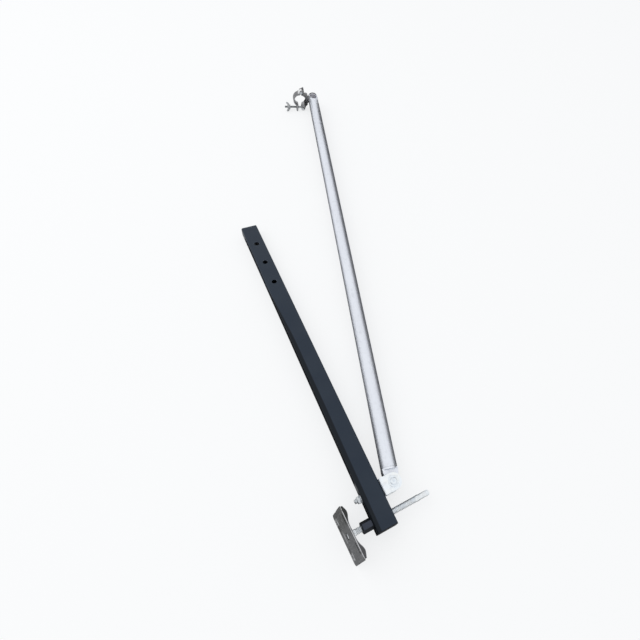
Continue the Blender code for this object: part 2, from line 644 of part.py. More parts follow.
# Lay it down, then put the middle of its box on the origin and its lowest point on the floor.
stand.matrix_local = turn(PITCH, "X") @ turn(ROLL, "Y")
bpy.context.view_layer.update()
graph = bpy.context.evaluated_depsgraph_get()
low = Vector((1e9, 1e9, 1e9))
high = -low
for obj in PARTS.objects:
    if obj.type != "MESH":
        continue
    evaluated = obj.evaluated_get(graph)
    for vertex in evaluated.data.vertices:
        point = evaluated.matrix_world @ vertex.co
        low = Vector(map(min, low, point))
        high = Vector(map(max, high, point))
shift = Vector((-(low.x + high.x) / 2, -(low.y + high.y) / 2, -low.z))
stand.matrix_local = Matrix.Translation(shift) @ stand.matrix_local
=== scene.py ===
# %% [markdown]
# # A stabiliser outrigger of a lighting truss tower
# The tower stands on four of these. A black box tube slides into the tower's base and is pinned there, a
# screw jack with a swivelling foot carries the load, and a round brace with a half coupler holds the arm to
# the tower. The part comes in as a frame that never moves. This lesson gives it its finishes, and puts finer
# surfaces in place of the plain CAD shapes wherever the eye can tell.

# %% Load the part
import json
import math

import bmesh
import bpy
import numpy as np
from mathutils import Matrix, Vector


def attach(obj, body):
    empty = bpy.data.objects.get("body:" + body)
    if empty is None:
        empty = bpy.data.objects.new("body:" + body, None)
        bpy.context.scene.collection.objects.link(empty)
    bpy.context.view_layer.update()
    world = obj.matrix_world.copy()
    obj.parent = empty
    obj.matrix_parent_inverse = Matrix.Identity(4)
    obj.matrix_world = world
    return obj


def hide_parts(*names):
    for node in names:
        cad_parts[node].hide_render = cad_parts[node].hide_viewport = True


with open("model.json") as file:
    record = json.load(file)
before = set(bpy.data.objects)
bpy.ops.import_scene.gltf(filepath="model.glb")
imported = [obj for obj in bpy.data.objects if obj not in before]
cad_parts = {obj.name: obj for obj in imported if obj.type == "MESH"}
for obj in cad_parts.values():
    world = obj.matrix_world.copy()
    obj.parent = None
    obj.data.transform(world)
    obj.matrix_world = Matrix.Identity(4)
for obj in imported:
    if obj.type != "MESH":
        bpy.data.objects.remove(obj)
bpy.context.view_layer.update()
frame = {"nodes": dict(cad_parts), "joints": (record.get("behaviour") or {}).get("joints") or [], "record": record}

# %% [markdown]
# ## Seats
# Each piece is easiest to describe in the directions of what carries it: along the arm, along the brace,
# round the jack. The places and axes of the joints say where those directions are, so nothing has to be
# fitted by eye. A seat holds an origin and three axes, and turns millimetres in its own directions into
# metres in the shared frame.

# %% A seat for each carrier
MM = 0.001
joints = {joint["name"]: joint for joint in frame["joints"]}
mounts = {mount["name"]: mount for mount in frame["record"]["mounts"]}


def unit(vector):
    vector = np.asarray(vector, float)
    return vector / np.linalg.norm(vector)


def axis_of(joint):
    return unit(joints[joint]["axis"])


def place_of(joint):
    return np.array(joints[joint]["pos_m"], float)


class Seat:
    """An origin in metres and three axes. The third axis is square to the first two."""

    def __init__(self, origin, x, y):
        x = unit(x)
        y = unit(np.asarray(y) - x * np.dot(x, y))
        self.origin = np.array(origin, float)
        self.axes = np.array([x, y, np.cross(x, y)])

    def put(self, points):
        """Points in millimetres become points in metres: the origin plus each coordinate along its axis."""
        return self.origin + (np.asarray(points, float) * MM) @ self.axes

    def spun(self, angle, about):
        """The same seat, turned about one of its own axes: 0, 1 or 2."""
        turn = np.array(Matrix.Rotation(angle, 3, Vector(self.axes[about])))
        return Seat(self.origin, turn @ self.axes[0], turn @ self.axes[1])

    def moved(self, point):
        return Seat(self.put(point), self.axes[0], self.axes[1])

    def matrix(self):
        m = Matrix([list(row) for row in self.axes.T]).to_4x4()
        m.translation = Vector(self.origin)
        return m


# %% Seats from the joints
# Along the arm from its foot end, and from the bracket's bolt out to the pivot.
JACK_Y = 31.5
BOLT_Y = 96.0
PIVOT_X = 65.0
FLAP_REST = math.radians(6.0)

along_arm = unit(place_of("bracket_swivel") - place_of("jack_turn"))
arm_seat = Seat(place_of("jack_turn") - along_arm * JACK_Y * MM, axis_of("jack_travel"), along_arm)
jack_seat = Seat(place_of("jack_turn"), -arm_seat.axes[2], arm_seat.axes[1])
pad_back = -unit(mounts["foot_sole"]["axis"])
foot_seat = Seat(place_of("pad_tilt"), np.cross(axis_of("pad_tilt"), pad_back), axis_of("pad_tilt"))
along_brace = unit(place_of("coupler_swivel") - place_of("brace_fold"))
fold_axis = -axis_of("brace_fold")
pivot_seat = Seat(place_of("brace_fold"), np.cross(along_brace, fold_axis), along_brace)
bracket_seat = Seat(place_of("bracket_swivel"), arm_seat.axes[0], np.cross(fold_axis, arm_seat.axes[0]))
bolt_seat = arm_seat.moved((0, BOLT_Y, 0))
hinge_seat = bracket_seat.moved((PIVOT_X, 0, 0))
coupler_seat = Seat(place_of("coupler_swivel"), axis_of("coupler_swivel"), -along_brace)
eye_seat = Seat(place_of("eye_bolt_swing"), axis_of("wing_nut_travel"), coupler_seat.axes[1])
print("pivot at", np.round(pivot_seat.origin, 4), "coupler at", np.round(coupler_seat.origin, 4))

# %% [markdown]
# ## Surfaces
# Nearly every piece here is turned on a lathe, bent from tube, or has a thread. All of those are one
# surface: rings of points in a row. A ring is a whole array, so a shape is written as a formula for its
# radius at each height and angle, with no loop over points. Real edges are never sharp, so a profile has its
# corners rounded before it is turned. The alternative, Blender's own cylinders with a Screw modifier, can't
# taper a thread out at its ends.

# %% Profiles
ROWS_PER_TURN = 12


def soften(points, radius, closed=False, steps=4):
    """A profile with its corners rounded: each corner becomes the curve (1-t)^2 a + 2t(1-t) p + t^2 b, where
    a and b stand a radius back from the corner p on its two sides, or 0.4 of the side where that is less."""
    p = np.asarray(points, float)
    before, after = np.roll(p, 1, 0) - p, np.roll(p, -1, 0) - p
    radius = np.broadcast_to(np.asarray(radius, float), (len(p),))

    def back(side):
        length = np.maximum(np.linalg.norm(side, axis=1), 1e-9)
        return p + side / length[:, None] * np.minimum(radius, 0.4 * length)[:, None]

    a, b = back(before)[:, None, :], back(after)[:, None, :]
    t = np.linspace(0, 1, steps)[None, :, None]
    curve = (1 - t) ** 2 * a + 2 * t * (1 - t) * p[:, None, :] + t**2 * b
    if closed:
        return curve.reshape(-1, 2)
    return np.vstack([p[:1], curve[1:-1].reshape(-1, 2), p[-1:]])


def rounded_box(half_a, half_b, radius, steps=10):
    """The outline of a box with round corners: four quarter circles, one after another."""
    t = np.linspace(0, math.pi / 2, steps)
    quarters = []
    for k, (sa, sb) in enumerate(((1, 1), (-1, 1), (-1, -1), (1, -1))):
        centre = np.array([sa * (half_a - radius), sb * (half_b - radius)])
        angle = t + k * math.pi / 2
        quarters.append(centre + radius * np.column_stack([np.cos(angle), np.sin(angle)]))
    return np.vstack(quarters)


def rod_rows(radius, low, high, pitch):
    """Profile points along a plain rod, so many to each turn of the thread that will be cut in it."""
    heights = np.linspace(low, high, int(abs(high - low) / pitch * ROWS_PER_TURN) + 1)
    return np.column_stack([np.full_like(heights, radius), heights])


# %% Turned, six-sided and threaded pieces
CREST, ROOT = 0.28, 0.30


def ordered(axis, a, b, c):
    """Two coordinates across an axis and one along it, put in the order x, y, z."""
    return np.stack({"X": (c, a, b), "Y": (b, c, a), "Z": (a, b, c)}[axis], axis=-1)


def lathe(profile, sides=72, axis="Z", across=None, thread=None, saddle=None):
    """Rings of points of a turned piece. A profile point (r, h) becomes the ring r cos u, r sin u, h.
    across: the radius is cut down to a hexagon's, half the width over the cosine of the angle from the flat.
    thread: (low, high, pitch, depth) cuts a groove whose depth depends on h / pitch - u / 2 pi, so it winds
    up the rod. Crest and root take their shares of a pitch, and the groove fades in and out over one pitch.
    saddle: (tube radius, rows) bends those rows onto a tube: their height is sqrt(R^2 - (r sin u)^2)."""
    profile = np.asarray(profile, float)
    u = np.linspace(0, 2 * math.pi, sides, endpoint=False)[None, :]
    r = np.repeat(profile[:, :1], sides, axis=1)
    h = np.repeat(profile[:, 1:], sides, axis=1)
    if across:
        from_flat = (u + math.pi / 6) % (math.pi / 3) - math.pi / 6
        r = np.minimum(r, across / 2 / np.cos(from_flat))
    if thread:
        low, high, pitch, depth = thread
        phase = np.abs((h / pitch - u / (2 * math.pi)) % 1.0 - 0.5) * 2
        groove = np.clip((1 - CREST - phase) / (1 - CREST - ROOT), 0, 1)
        fade = np.clip(np.minimum(h - low, high - h) / pitch, 0, 1)
        r = r - depth * groove * fade
    if saddle:
        radius, rows = saddle
        bent = np.zeros(len(profile), bool)
        bent[rows] = True
        h = np.where(bent[:, None], np.sqrt(np.maximum(radius**2 - (r * np.sin(u)) ** 2, 0)), h)
    return ordered(axis, r * np.cos(u), r * np.sin(u), h)


def extrude(outlines, axis="Z"):
    """Rings made of outlines (a, b) at given heights, for pieces that aren't round."""
    return np.stack([ordered(axis, o[:, 0], o[:, 1], np.full(len(o), h)) for o, h in outlines])


# %% [markdown]
# A surface becomes a mesh in one step. Closed rings join the last ring to the first, as round a washer. Open
# ones get a flat end each, and the join is welded, so every piece is one watertight body whose faces point
# out, ready to be printed or measured.

# %% From rings to a piece
def faces_of(rows, columns, wrap, start=0):
    """Quads between ring i and ring i + 1, from the index formula i * columns + j."""
    i = np.arange(rows if wrap else rows - 1)[:, None]
    j = np.arange(columns)[None, :]
    low, high = i * columns, ((i + 1) % rows) * columns
    right = (j + 1) % columns
    quads = np.stack([low + j, low + right, high + right, high + j], axis=-1).reshape(-1, 4) + start
    faces = quads.tolist()
    if not wrap:
        faces.append((np.arange(columns)[::-1] + start).tolist())
        faces.append((np.arange(columns) + (rows - 1) * columns + start).tolist())
    return faces


WELD = 2e-6
SHARP = 32


def mesh_of(name, shells, sharp=SHARP):
    """One mesh from several (points in metres, closed) shells, welded, with its faces turned out."""
    points, faces, start = [], [], 0
    for rings, closed in shells:
        rows, columns = rings.shape[:2]
        faces += faces_of(rows, columns, closed, start)
        points.append(rings.reshape(-1, 3))
        start += rows * columns
    mesh = bpy.data.meshes.new(name)
    mesh.from_pydata(np.vstack(points).tolist(), [], faces)
    weld(mesh, sharp)
    return mesh


def weld(mesh, sharp, distance=WELD, flat=None):
    """Points nearer than a distance become one, and edges that turn by more than sharp stay crisp. Where flat
    is given, neighbouring faces that turn by less than that angle are merged."""
    bm = bmesh.new()
    bm.from_mesh(mesh)
    bmesh.ops.remove_doubles(bm, verts=bm.verts, dist=distance)
    if flat:
        bmesh.ops.dissolve_limit(bm, angle_limit=math.radians(flat), verts=bm.verts, edges=bm.edges)
    bmesh.ops.recalc_face_normals(bm, faces=bm.faces)
    bm.to_mesh(mesh)
    bm.free()
    mesh.shade_smooth()
    mesh.set_sharp_from_angle(angle=math.radians(sharp))


# %% Pieces that stand in for the CAD nodes
def linked(name, data):
    """A new object in the scene."""
    obj = bpy.data.objects.new(name, data)
    bpy.context.scene.collection.objects.link(obj)
    return obj


bodies = frame["record"]["behaviour"]["bodies"]
bodies_of_nodes = {node: body for body, nodes in bodies.items() for node in nodes}
pieces, stood_in = {}, {}


def stand_in(name, mesh, node):
    """The new piece takes the node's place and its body."""
    piece = linked(name, mesh)
    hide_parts(node)
    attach(piece, bodies_of_nodes[node])
    pieces[name], stood_in[node] = piece, name
    return piece


def make(name, node, seat, *shells, sharp=SHARP):
    """A piece from (rings in millimetres, closed) shells in a seat's own directions."""
    return stand_in(name, mesh_of(name, [(seat.put(rings), closed) for rings, closed in shells], sharp), node)


# %% Cutting
def cut(piece, seat, *tools, operation="DIFFERENCE"):
    """Cuts closed shapes out of a piece, or joins them on, and keeps the result as plain mesh."""
    helpers = []
    for rings, closed in tools:
        helper = linked("helper", mesh_of("helper", [(seat.put(rings), closed)]))
        modifier = piece.modifiers.new("cut", "BOOLEAN")
        modifier.operation, modifier.solver, modifier.object = operation, "EXACT", helper
        helpers.append(helper)
    bpy.context.view_layer.update()
    graph = bpy.context.evaluated_depsgraph_get()
    mesh = bpy.data.meshes.new_from_object(piece.evaluated_get(graph))
    piece.modifiers.clear()
    piece.data = mesh
    for helper in helpers:
        bpy.data.objects.remove(helper)
    weld(mesh, SHARP)
    return piece


# %% [markdown]
# ## The arm
# A length of 60 by 40 mm steel box tube. The corners of such tube are rolled to about twice the wall, and
# the holes for the tower's locking pins are drilled and lightly countersunk, which is what catches the light
# round them. The CAD arm has the same sizes with fewer facets. Here it is a sweep of its outline, and the
# holes are cut.

# %% Arm and its end cap
GAP = 0.3
ARM_START, ARM_END = 2.3, 1172.0
ARM_HALF = (30.0, 20.0)
ARM_WALL, ARM_CORNER = 3.0, 6.0
PIN_PITCH = 100.0
PIN_HOLES = [1073.0, 1073.0 - PIN_PITCH, 1073.0 - 2 * PIN_PITCH]
PIN_RADIUS = 9.0
SLEEVE_NECK = 12.0
SPINDLE = 8.0
BOLT_HOLE = 6.4
BEYOND = 40.0


def inset(depth, y, corner=None):
    """The arm's outline, drawn in by a depth, at a distance along it. Along Y its pairs are (z, x)."""
    return rounded_box(ARM_HALF[1] - depth, ARM_HALF[0] - depth, corner or ARM_CORNER - depth), y


def countersunk(radius, half, lip=0.7):
    """The cutter of a hole through two walls: wider by a lip where it meets each outer face."""
    low = [(radius + lip + 3, -half - 3), (radius, -half + lip)]
    return low + [(radius, half - lip), (radius + lip + 3, half + 3)]


edge = 0.35
arm_rings = extrude([
    inset(0, ARM_START + edge), inset(0, ARM_END - edge), inset(edge, ARM_END),
    inset(ARM_WALL - edge, ARM_END), inset(ARM_WALL, ARM_END - edge), inset(ARM_WALL, ARM_START + edge),
    inset(ARM_WALL - edge, ARM_START), inset(edge, ARM_START),
], "Y")
arm = make("arm_tube", "outrigger_arm", arm_seat, (arm_rings, True))
for y in PIN_HOLES:
    cut(arm, arm_seat.moved((0, y, 0)), (lathe(countersunk(PIN_RADIUS, ARM_HALF[1]), 64), False))
walls = ((SLEEVE_NECK + GAP, -BEYOND, -20), (SPINDLE + 2 * GAP, 20, BEYOND))
jack_holes = [(lathe([(radius, low), (radius, high)], 64, "X"), False) for radius, low, high in walls]
cut(arm, arm_seat.moved((0, JACK_Y, 0)), *jack_holes)
cut(arm, bolt_seat, (lathe([(BOLT_HOLE, -BEYOND), (BOLT_HOLE, BEYOND)], 48, "X"), False))

plug_depth = ARM_WALL + GAP
cap_rings = extrude([
    inset(1.6, 0), inset(0.5, 0.25), inset(0, 0.9), inset(0, 2), inset(plug_depth, 2, 2.8),
    inset(plug_depth, 13.4, 2.8), inset(plug_depth + 0.6, 14, 2.5), inset(5.7, 14, 1.5), inset(5.7, 2.6, 1.5),
], "Y")
make("arm_foot_cap", "foot_end_cap", arm_seat, (cap_rings, False))
print("arm faces:", len(arm.data.polygons))

# %% [markdown]
# ## The jack
# The jack's sleeve is welded into the arm and six-sided outside it, and a spindle with a coarse trapezoidal
# thread runs through it. The thread is what shows that this is a jack and not a pin, so it is cut in full:
# the groove's place depends on height and angle together, which is the formula of a helix.

# %% Sleeve, spindle, ball and screw
SLEEVE_RADIUS, SLEEVE_BORE = 15.0, SPINDLE + GAP
SLEEVE_FLATS = 26.0
SLEEVE_END = -60.0
BALL_X, BALL_RADIUS = -89.0, 13.0
BALL_LOW, BALL_HIGH = -6.7, 6.5
JOURNAL = 5.0
THREAD_PITCH, THREAD_DEPTH, THREAD_TOP = 4.0, 1.4, 104.0
DRIVE_RADIUS, SPINDLE_TOP = 7.2, 145.0
CORE = 0.4

inner, outer = ARM_HALF[0] - ARM_WALL - GAP, -ARM_HALF[0] - GAP
sleeve = soften([
    (SLEEVE_NECK, inner), (SLEEVE_NECK, outer), (SLEEVE_RADIUS, outer), (SLEEVE_RADIUS, SLEEVE_END),
    (SLEEVE_BORE, SLEEVE_END), (SLEEVE_BORE, inner),
], (0.3, 0.3, 0.5, 3.0, 1.1, 0.3), True)
make("jack_tube", "jack_sleeve", jack_seat, (lathe(sleeve, across=SLEEVE_FLATS), True))

shoulder, journal_end = BALL_X + 6.8, BALL_X - 7.0
thread = (shoulder + 4.0, THREAD_TOP, THREAD_PITCH, THREAD_DEPTH)
before = soften([
    (CORE, journal_end), (JOURNAL - 0.1, journal_end), (JOURNAL, shoulder), (SPINDLE, shoulder),
    (SPINDLE, thread[0] - 0.1),
], 0.5)
after = soften([
    (SPINDLE, THREAD_TOP + 0.2), (SPINDLE, THREAD_TOP + 7), (DRIVE_RADIUS + 0.1, THREAD_TOP + 9),
    (DRIVE_RADIUS, SPINDLE_TOP - 1.8), (DRIVE_RADIUS - 1.4, SPINDLE_TOP), (CORE, SPINDLE_TOP),
], 0.7)
rows = rod_rows(SPINDLE, thread[0], THREAD_TOP, THREAD_PITCH)
spindle = lathe(np.vstack([before, rows, after]), 64, thread=thread)
make("jack_screw", "jack_spindle", jack_seat, (spindle, False), sharp=50)

ball_heights = np.linspace(BALL_LOW, BALL_HIGH, 24)
ball = np.vstack([
    np.column_stack([np.sqrt(BALL_RADIUS**2 - ball_heights**2), ball_heights]),
    [(JOURNAL + 0.6, BALL_HIGH), (JOURNAL + GAP, BALL_HIGH - GAP), (JOURNAL + GAP, BALL_LOW + GAP),
     (JOURNAL + 0.6, BALL_LOW)],
]) + (0, BALL_X)
make("foot_ball", "pad_swivel_ball", jack_seat, (lathe(ball), True))

head = journal_end - GAP
screw = soften([
    (CORE, journal_end), (2.5, journal_end), (2.5, head), (7.2, head), (7.2, head - 1.6), (5.8, head - 2.3),
    (2.8, head - 2.3), (2.6, head - 1.0), (CORE, head - 1.0),
], 0.3)
make("foot_screw", "spindle_end_screw", jack_seat, (lathe(screw), False))

# %% [markdown]
# ## Bolts, nuts and washers
# A nut is a hexagon with a cone turned on each end. The two are not joined by a cut: at each angle the
# radius is simply the smaller of the two, and the curved line that every real nut shows on its flats comes
# out by itself.

# %% Fastener shapes
M12, M12_PITCH = 6.0, 1.75
NUT, NUT_BORE, LEAD = 18.0, 6.25, 0.8
CENTRE = 0.3

# A turned profile goes a little past the hexagon's corners, so that the hexagon alone sets the sides.
NUT_CORNER = NUT / 2 / math.cos(math.pi / 6) + 0.2


def nut(low, high, axis="X"):
    """The shell of a nut: a cone from just inside the flats up to the corners, back down, and the bore."""
    flat = NUT / 2 * 0.95
    rise = (NUT_CORNER - flat) * 0.55
    profile = [
        (NUT_BORE + LEAD, low), (flat, low), (NUT_CORNER, low + rise), (NUT_CORNER, high - rise),
        (flat, high), (NUT_BORE + LEAD, high), (NUT_BORE, high - LEAD), (NUT_BORE, low + LEAD),
    ]
    return lathe(profile, 96, axis, across=NUT), True


def washer(outer, inner, low, high, axis="X"):
    """The shell of a washer with soft edges."""
    profile = soften([(inner, low), (outer, low), (outer, high), (inner, high)], 0.4, True)
    return lathe(profile, 72, axis), True


def hex_head(bearing, top):
    """The profile of a bolt's head, from its crown to where it meets the shank."""
    flat = NUT / 2 * 0.93
    return [
        (CENTRE, top), (flat, top), (NUT_CORNER, top - (NUT_CORNER - flat) * 0.5), (NUT_CORNER, bearing),
        (M12, bearing),
    ]


def bolt(head, end, threaded, axis="X", across=NUT, chamfer=1.3):
    """The shell of a bolt: its head's profile, a threaded stretch with its own rows, and a chamfered end."""
    shank = rod_rows(M12, end + threaded, end + chamfer, M12_PITCH)
    profile = np.vstack([head, shank, [(M12 - 1.2, end), (CENTRE, end)]])
    return lathe(profile, 48, axis, across=across, thread=(end - 2, end + threaded, M12_PITCH, 0.8)), False


# %% The bracket's bolt and the pivot's bolt
BRACKET_HALF, BRACKET_WALL = 25.0, 5.0
TONGUE_HALF, SPACER = 16.0, 4.0
DISC = 2.1

bearing, back = ARM_HALF[0] + GAP + BRACKET_WALL + GAP, -ARM_HALF[0] - GAP
make("bracket_fixing_bolt", "bracket_bolt", bolt_seat, bolt(hex_head(bearing, bearing + 7), -49.0, 24))
make("bracket_back_washer", "bracket_washer", bolt_seat, washer(12, BOLT_HOLE, back - 1.6, back))
make("bracket_back_nut", "bracket_nut", bolt_seat, nut(back - 11, back - 1.9))

face = BRACKET_HALF + GAP
dome = soften([
    (CENTRE, face + 4.4), (2.4, face + 4.4), (2.6, face + 6.3), (6, face + 6.3), (8.8, face + 5.1),
    (10.2, face + 2.4), (M12, face + 2.4),
], 0.8)
make("pivot_dome_bolt", "pivot_bolt", hinge_seat, bolt(dome, -face - 12.6, 22, "Z", None, 1.2))
make("pivot_nut_plain", "pivot_nut", hinge_seat, nut(-face - 10, -face - 2.4, "Z"))
for side, low in (("near", face), ("far", -face - DISC)):
    disc = washer(14.5, BOLT_HOLE, low, low + DISC, "Z")
    make("pivot_disc_" + side, "pivot_washer_" + side, hinge_seat, disc)
for side, low in (("near", TONGUE_HALF + GAP), ("far", -TONGUE_HALF - SPACER + GAP)):
    disc = washer(15, BOLT_HOLE, low, low + SPACER - 2 * GAP, "Z")
    make("tongue_disc_" + side, "tongue_spacer_" + side, hinge_seat, disc)
print("pieces so far:", len(pieces))

# %% [markdown]
# ## The brace
# A 48.3 mm tube. At the coupler's end its upper wall is opened by a window with a round end, so that a
# spanner gets at the nut inside. A grid can carry that window without any cutting: each column of the tube
# runs from the foot end to a height that depends on the angle, and the height drops where the column falls
# inside the window.

# %% Tube with its access window
TUBE_RADIUS, TUBE_WALL = 24.15, 3.0
TUBE_START, TUBE_END = 40.0, 1862.0
WINDOW_HALF, WINDOW_CENTRE = 17.0, TUBE_END - 31.0
BORE = TUBE_RADIUS - TUBE_WALL


def window_edge(x, z):
    """Where the wall ends: at the tube's end, or for a column above the axis and within the window's half
    width, on the half circle y = centre - sqrt(half^2 - x^2)."""
    inside = (np.abs(x) < WINDOW_HALF) & (z > 0)
    dip = WINDOW_CENTRE - np.sqrt(np.maximum(WINDOW_HALF**2 - x**2, 0))
    return np.where(inside, dip, TUBE_END)


TUBE_CHAMFER = 0.35

# On each side of the window two columns stand a hair apart.
rim, hair = math.acos(WINDOW_HALF / TUBE_RADIUS), 2e-4
angles = np.concatenate([
    np.linspace(rim + hair, math.pi - rim - hair, 49),
    np.linspace(math.pi - rim + hair, 2 * math.pi + rim - hair, 97),
])
share = np.array([0.0, 0.0008, 0.25, 0.5, 0.75, 0.9, 0.96, 0.99, 0.9992, 1.0])
stop = window_edge(TUBE_RADIUS * np.cos(angles), TUBE_RADIUS * np.sin(angles))
wall_rings = []
for radius, order in ((TUBE_RADIUS, 1), (BORE, -1)):
    for s in share[::order]:
        reach = radius - order * TUBE_CHAMFER * (s in (0.0, 1.0))
        y = TUBE_START + s * (stop - TUBE_START)
        wall_rings.append(np.stack([reach * np.cos(angles), y, reach * np.sin(angles)], axis=-1))
make("brace_tube_open", "brace_tube", pivot_seat, (np.array(wall_rings), True), sharp=40)

# %% What closes the tube, and its rivet
PLUG_LIP, PLUG_CUP = TUBE_RADIUS - 0.15, 18.2
PLUG_TOP = TUBE_END + 2.3
RIVET_Y = 70.0

plug = soften([
    (CENTRE, TUBE_END - 1.5), (PLUG_CUP, TUBE_END - 1.5), (PLUG_CUP, TUBE_END - 5),
    (BORE - 0.35, TUBE_END - 5), (BORE - 0.35, TUBE_END + GAP), (PLUG_LIP, TUBE_END + GAP),
    (PLUG_LIP, PLUG_TOP), (CENTRE, PLUG_TOP),
], (0.3, 0.3, 0.3, 0.4, 0.3, 0.3, 1.2, 0.3))
make("brace_plug", "brace_end_plug", pivot_seat, (lathe(plug, 96, "Y"), False))
rivet = soften([
    (CENTRE, 7.5), (3, 7.5), (3, -0.35), (6.2, -0.35), (5.4, -2.1), (2.6, -2.95), (CENTRE, -2.95),
], 0.6)
rivet_seat = pivot_seat.moved((0, RIVET_Y, -TUBE_RADIUS))
make("fitting_rivet_head", "fitting_rivet", rivet_seat, (lathe(rivet, 48), False))

# %% [markdown]
# ## The half coupler
# Everything on the coupler that is turned is made the same way. The spacer between tube and coupler is
# hollowed to sit on the round tube: its end rings follow the tube's surface, the square root of the radius
# squared less the offset squared.

# %% The coupler's bolt, spacer, washer and pins
RING_X, RING_BORE = 63.5, 25.5
HINGE, EYE_PIN = (-4.0, 38.0), (-13.0, -42.0)
COUPLER_HALF = 16.0


def saddled(curved, flat, radius):
    """The shell of a ring that lies on a tube: its curved rows, given by their radii, are bent onto the tube,
    and its flat rows close it on the other side."""
    profile = np.vstack([[(r, 0) for r in curved], flat])
    return lathe(profile, 72, "X", saddle=(radius, slice(0, len(curved)))), True


seat_back, seat_floor = RING_X - 36.0 - GAP, RING_X - RING_BORE - 7.6
head = hex_head(seat_floor + GAP, seat_floor + 7)
make("coupler_swivel_bolt", "coupler_bolt", coupler_seat, bolt(head, 1.5, 15))
spacer = saddled(
    (6.5, 8.2, 9.8, 11.4, 13.0, 14.6, 16.0),
    [(16.0, seat_back - 0.4), (15.6, seat_back), (6.9, seat_back), (6.5, seat_back - 0.4)], TUBE_RADIUS + GAP)
make("saddle_spacer", "tube_saddle_spacer", coupler_seat, spacer)
flat_side = [(10.4, 15.2), (10.1, 14.9), (6.7, 14.9), (6.4, 15.2)]
inner_ring = saddled((6.4, 7.6, 9.0, 10.4), flat_side, BORE - GAP)
make("tube_inner_washer", "inner_saddle_washer", coupler_seat, inner_ring)
make("tube_inner_nut", "coupler_nut", coupler_seat, nut(5.0, 14.6))

half = COUPLER_HALF + GAP
pin = [(CENTRE, 2.6), (2.6, 2.6), (5.8, 1.5), (6.2, 0), (4, 0)]
pin = soften([(r, h + half) for r, h in pin] + [(r, -h - half) for r, h in pin[::-1]], 0.7)
pins = (("flap_hinge_pin", "flap_pin", HINGE), ("eye_bolt_hinge_pin", "eye_bolt_pin", EYE_PIN))
for name, node, (x, z) in pins:
    make(name, node, coupler_seat.moved((RING_X + x, 0, z)), (lathe(pin, 48, "Y"), False))

# %% [markdown]
# ## The eye bolt and its wing nut
# This is the part that a rigger's hand knows: the eye bolt swings up into the flap's fork and the wing nut
# pulls the flap shut. The wings are cast, thick at the hub and thin at the rim. Each is a row of ovals along
# a curved centre line, whose half height and half thickness change as it goes, and it is joined to the
# turned hub.

# %% Eye bolt
EYE_SHANK, EYE_PITCH = 5.0, 1.5
EYE_END = 91.0
THREAD_FROM = 24.0

shank = np.vstack([
    [(CENTRE, 5.5), (EYE_SHANK, 5.5), (EYE_SHANK, THREAD_FROM)],
    rod_rows(EYE_SHANK, THREAD_FROM + 0.1, EYE_END - 1, EYE_PITCH),
    [(EYE_SHANK - 0.9, EYE_END), (CENTRE, EYE_END)],
])
eye_ring = soften([(4.3, -5.6), (7.6, -5.6), (8.5, -4.8), (8.5, 4.8), (7.6, 5.6), (4.3, 5.6)], 0.5, True)
shank = lathe(shank, 40, "X", thread=(THREAD_FROM, EYE_END + 3, EYE_PITCH, 0.75)), False
make("eye_bolt_threaded", "eye_bolt", eye_seat, shank, (lathe(eye_ring, 64, "Y"), True), sharp=50)

# %% Washer and wing nut
NUT_REST, WING_TURN = 66.5, math.radians(65.0)
WING_REACH, WING_RISE = 18.5, 11.0
TIP = 0.28
nut_seat = eye_seat.moved((NUT_REST, 0, 0)).spun(WING_TURN, 0)
make("clamp_disc", "clamp_washer", nut_seat, washer(11.5, 5.5, -2.3, -0.3))
hub = soften([(5.4, 0), (9, 0), (9, 5), (7.4, 12), (5.4, 12)], 0.8, True)
wing_nut = make("cast_wing_nut", "wing_nut", nut_seat, (lathe(hub, 64, "X"), True))


def wing_rings(side, steps=22, sides=28):
    """Ovals along a centre line that leaves the hub and curls up. At s from 0 to 1 the line is at distance
    6 + reach s^0.85 from the axis and height 5.6 + rise s^2. The half height is 4.6 + 0.8 sin(pi s) and the
    half thickness 2.6 - 0.9 s, and both close like a circle's edge over the tip."""
    s = np.linspace(0, 1, steps)[:, None]
    out, up = 6 + WING_REACH * s**0.85, 5.6 + WING_RISE * s**2
    close = np.sqrt(np.maximum(1 - ((s - 1 + TIP) / TIP).clip(0, 1) ** 2, 0.0009))
    tall, thick = (4.6 + 0.8 * np.sin(math.pi * s)) * close, (2.6 - 0.9 * s) * close
    lean = np.arctan2(2 * WING_RISE * s, WING_REACH)
    v = np.linspace(0, 2 * math.pi, sides, endpoint=False)[None, :]
    a = np.sign(np.cos(v)) * np.abs(np.cos(v)) ** 0.8 * tall
    radial, height = out - a * np.sin(lean), up + a * np.cos(lean)
    return np.stack([height, side * np.sin(v) * thick, side * radial], axis=-1)


cut(wing_nut, nut_seat, (wing_rings(1), False), (wing_rings(-1), False), operation="UNION")
print("pieces so far:", len(pieces))

# %% [markdown]
# ## Cast, forged and pressed pieces
# The coupler's two halves, the bracket, the brace's end fitting and the foot pad already have the right
# shape in the CAD part, with their slots and holes. What they lack is the small radius that every real edge
# has, and it is that radius that draws the bright line along an edge. So these five take the CAD mesh, with
# its loose triangles merged and its flat faces made whole again, and a Bevel modifier rounds each edge.

# %% Softened copies
ROUNDED_FROM, SEGMENTS = 28, 3


def softened(name, node, width):
    """A copy of a CAD node's mesh. Each edge that turns by enough is rounded by a width in millimetres."""
    mesh = frame["nodes"][node].data.copy()
    weld(mesh, 50, 5e-6, 0.8)
    mesh.materials.clear()
    bevel = stand_in(name, mesh, node).modifiers.new("edges", "BEVEL")
    bevel.width, bevel.segments, bevel.limit_method = width * MM, SEGMENTS, "ANGLE"
    bevel.angle_limit, bevel.harden_normals, bevel.miter_outer = math.radians(ROUNDED_FROM), True, "MITER_ARC"


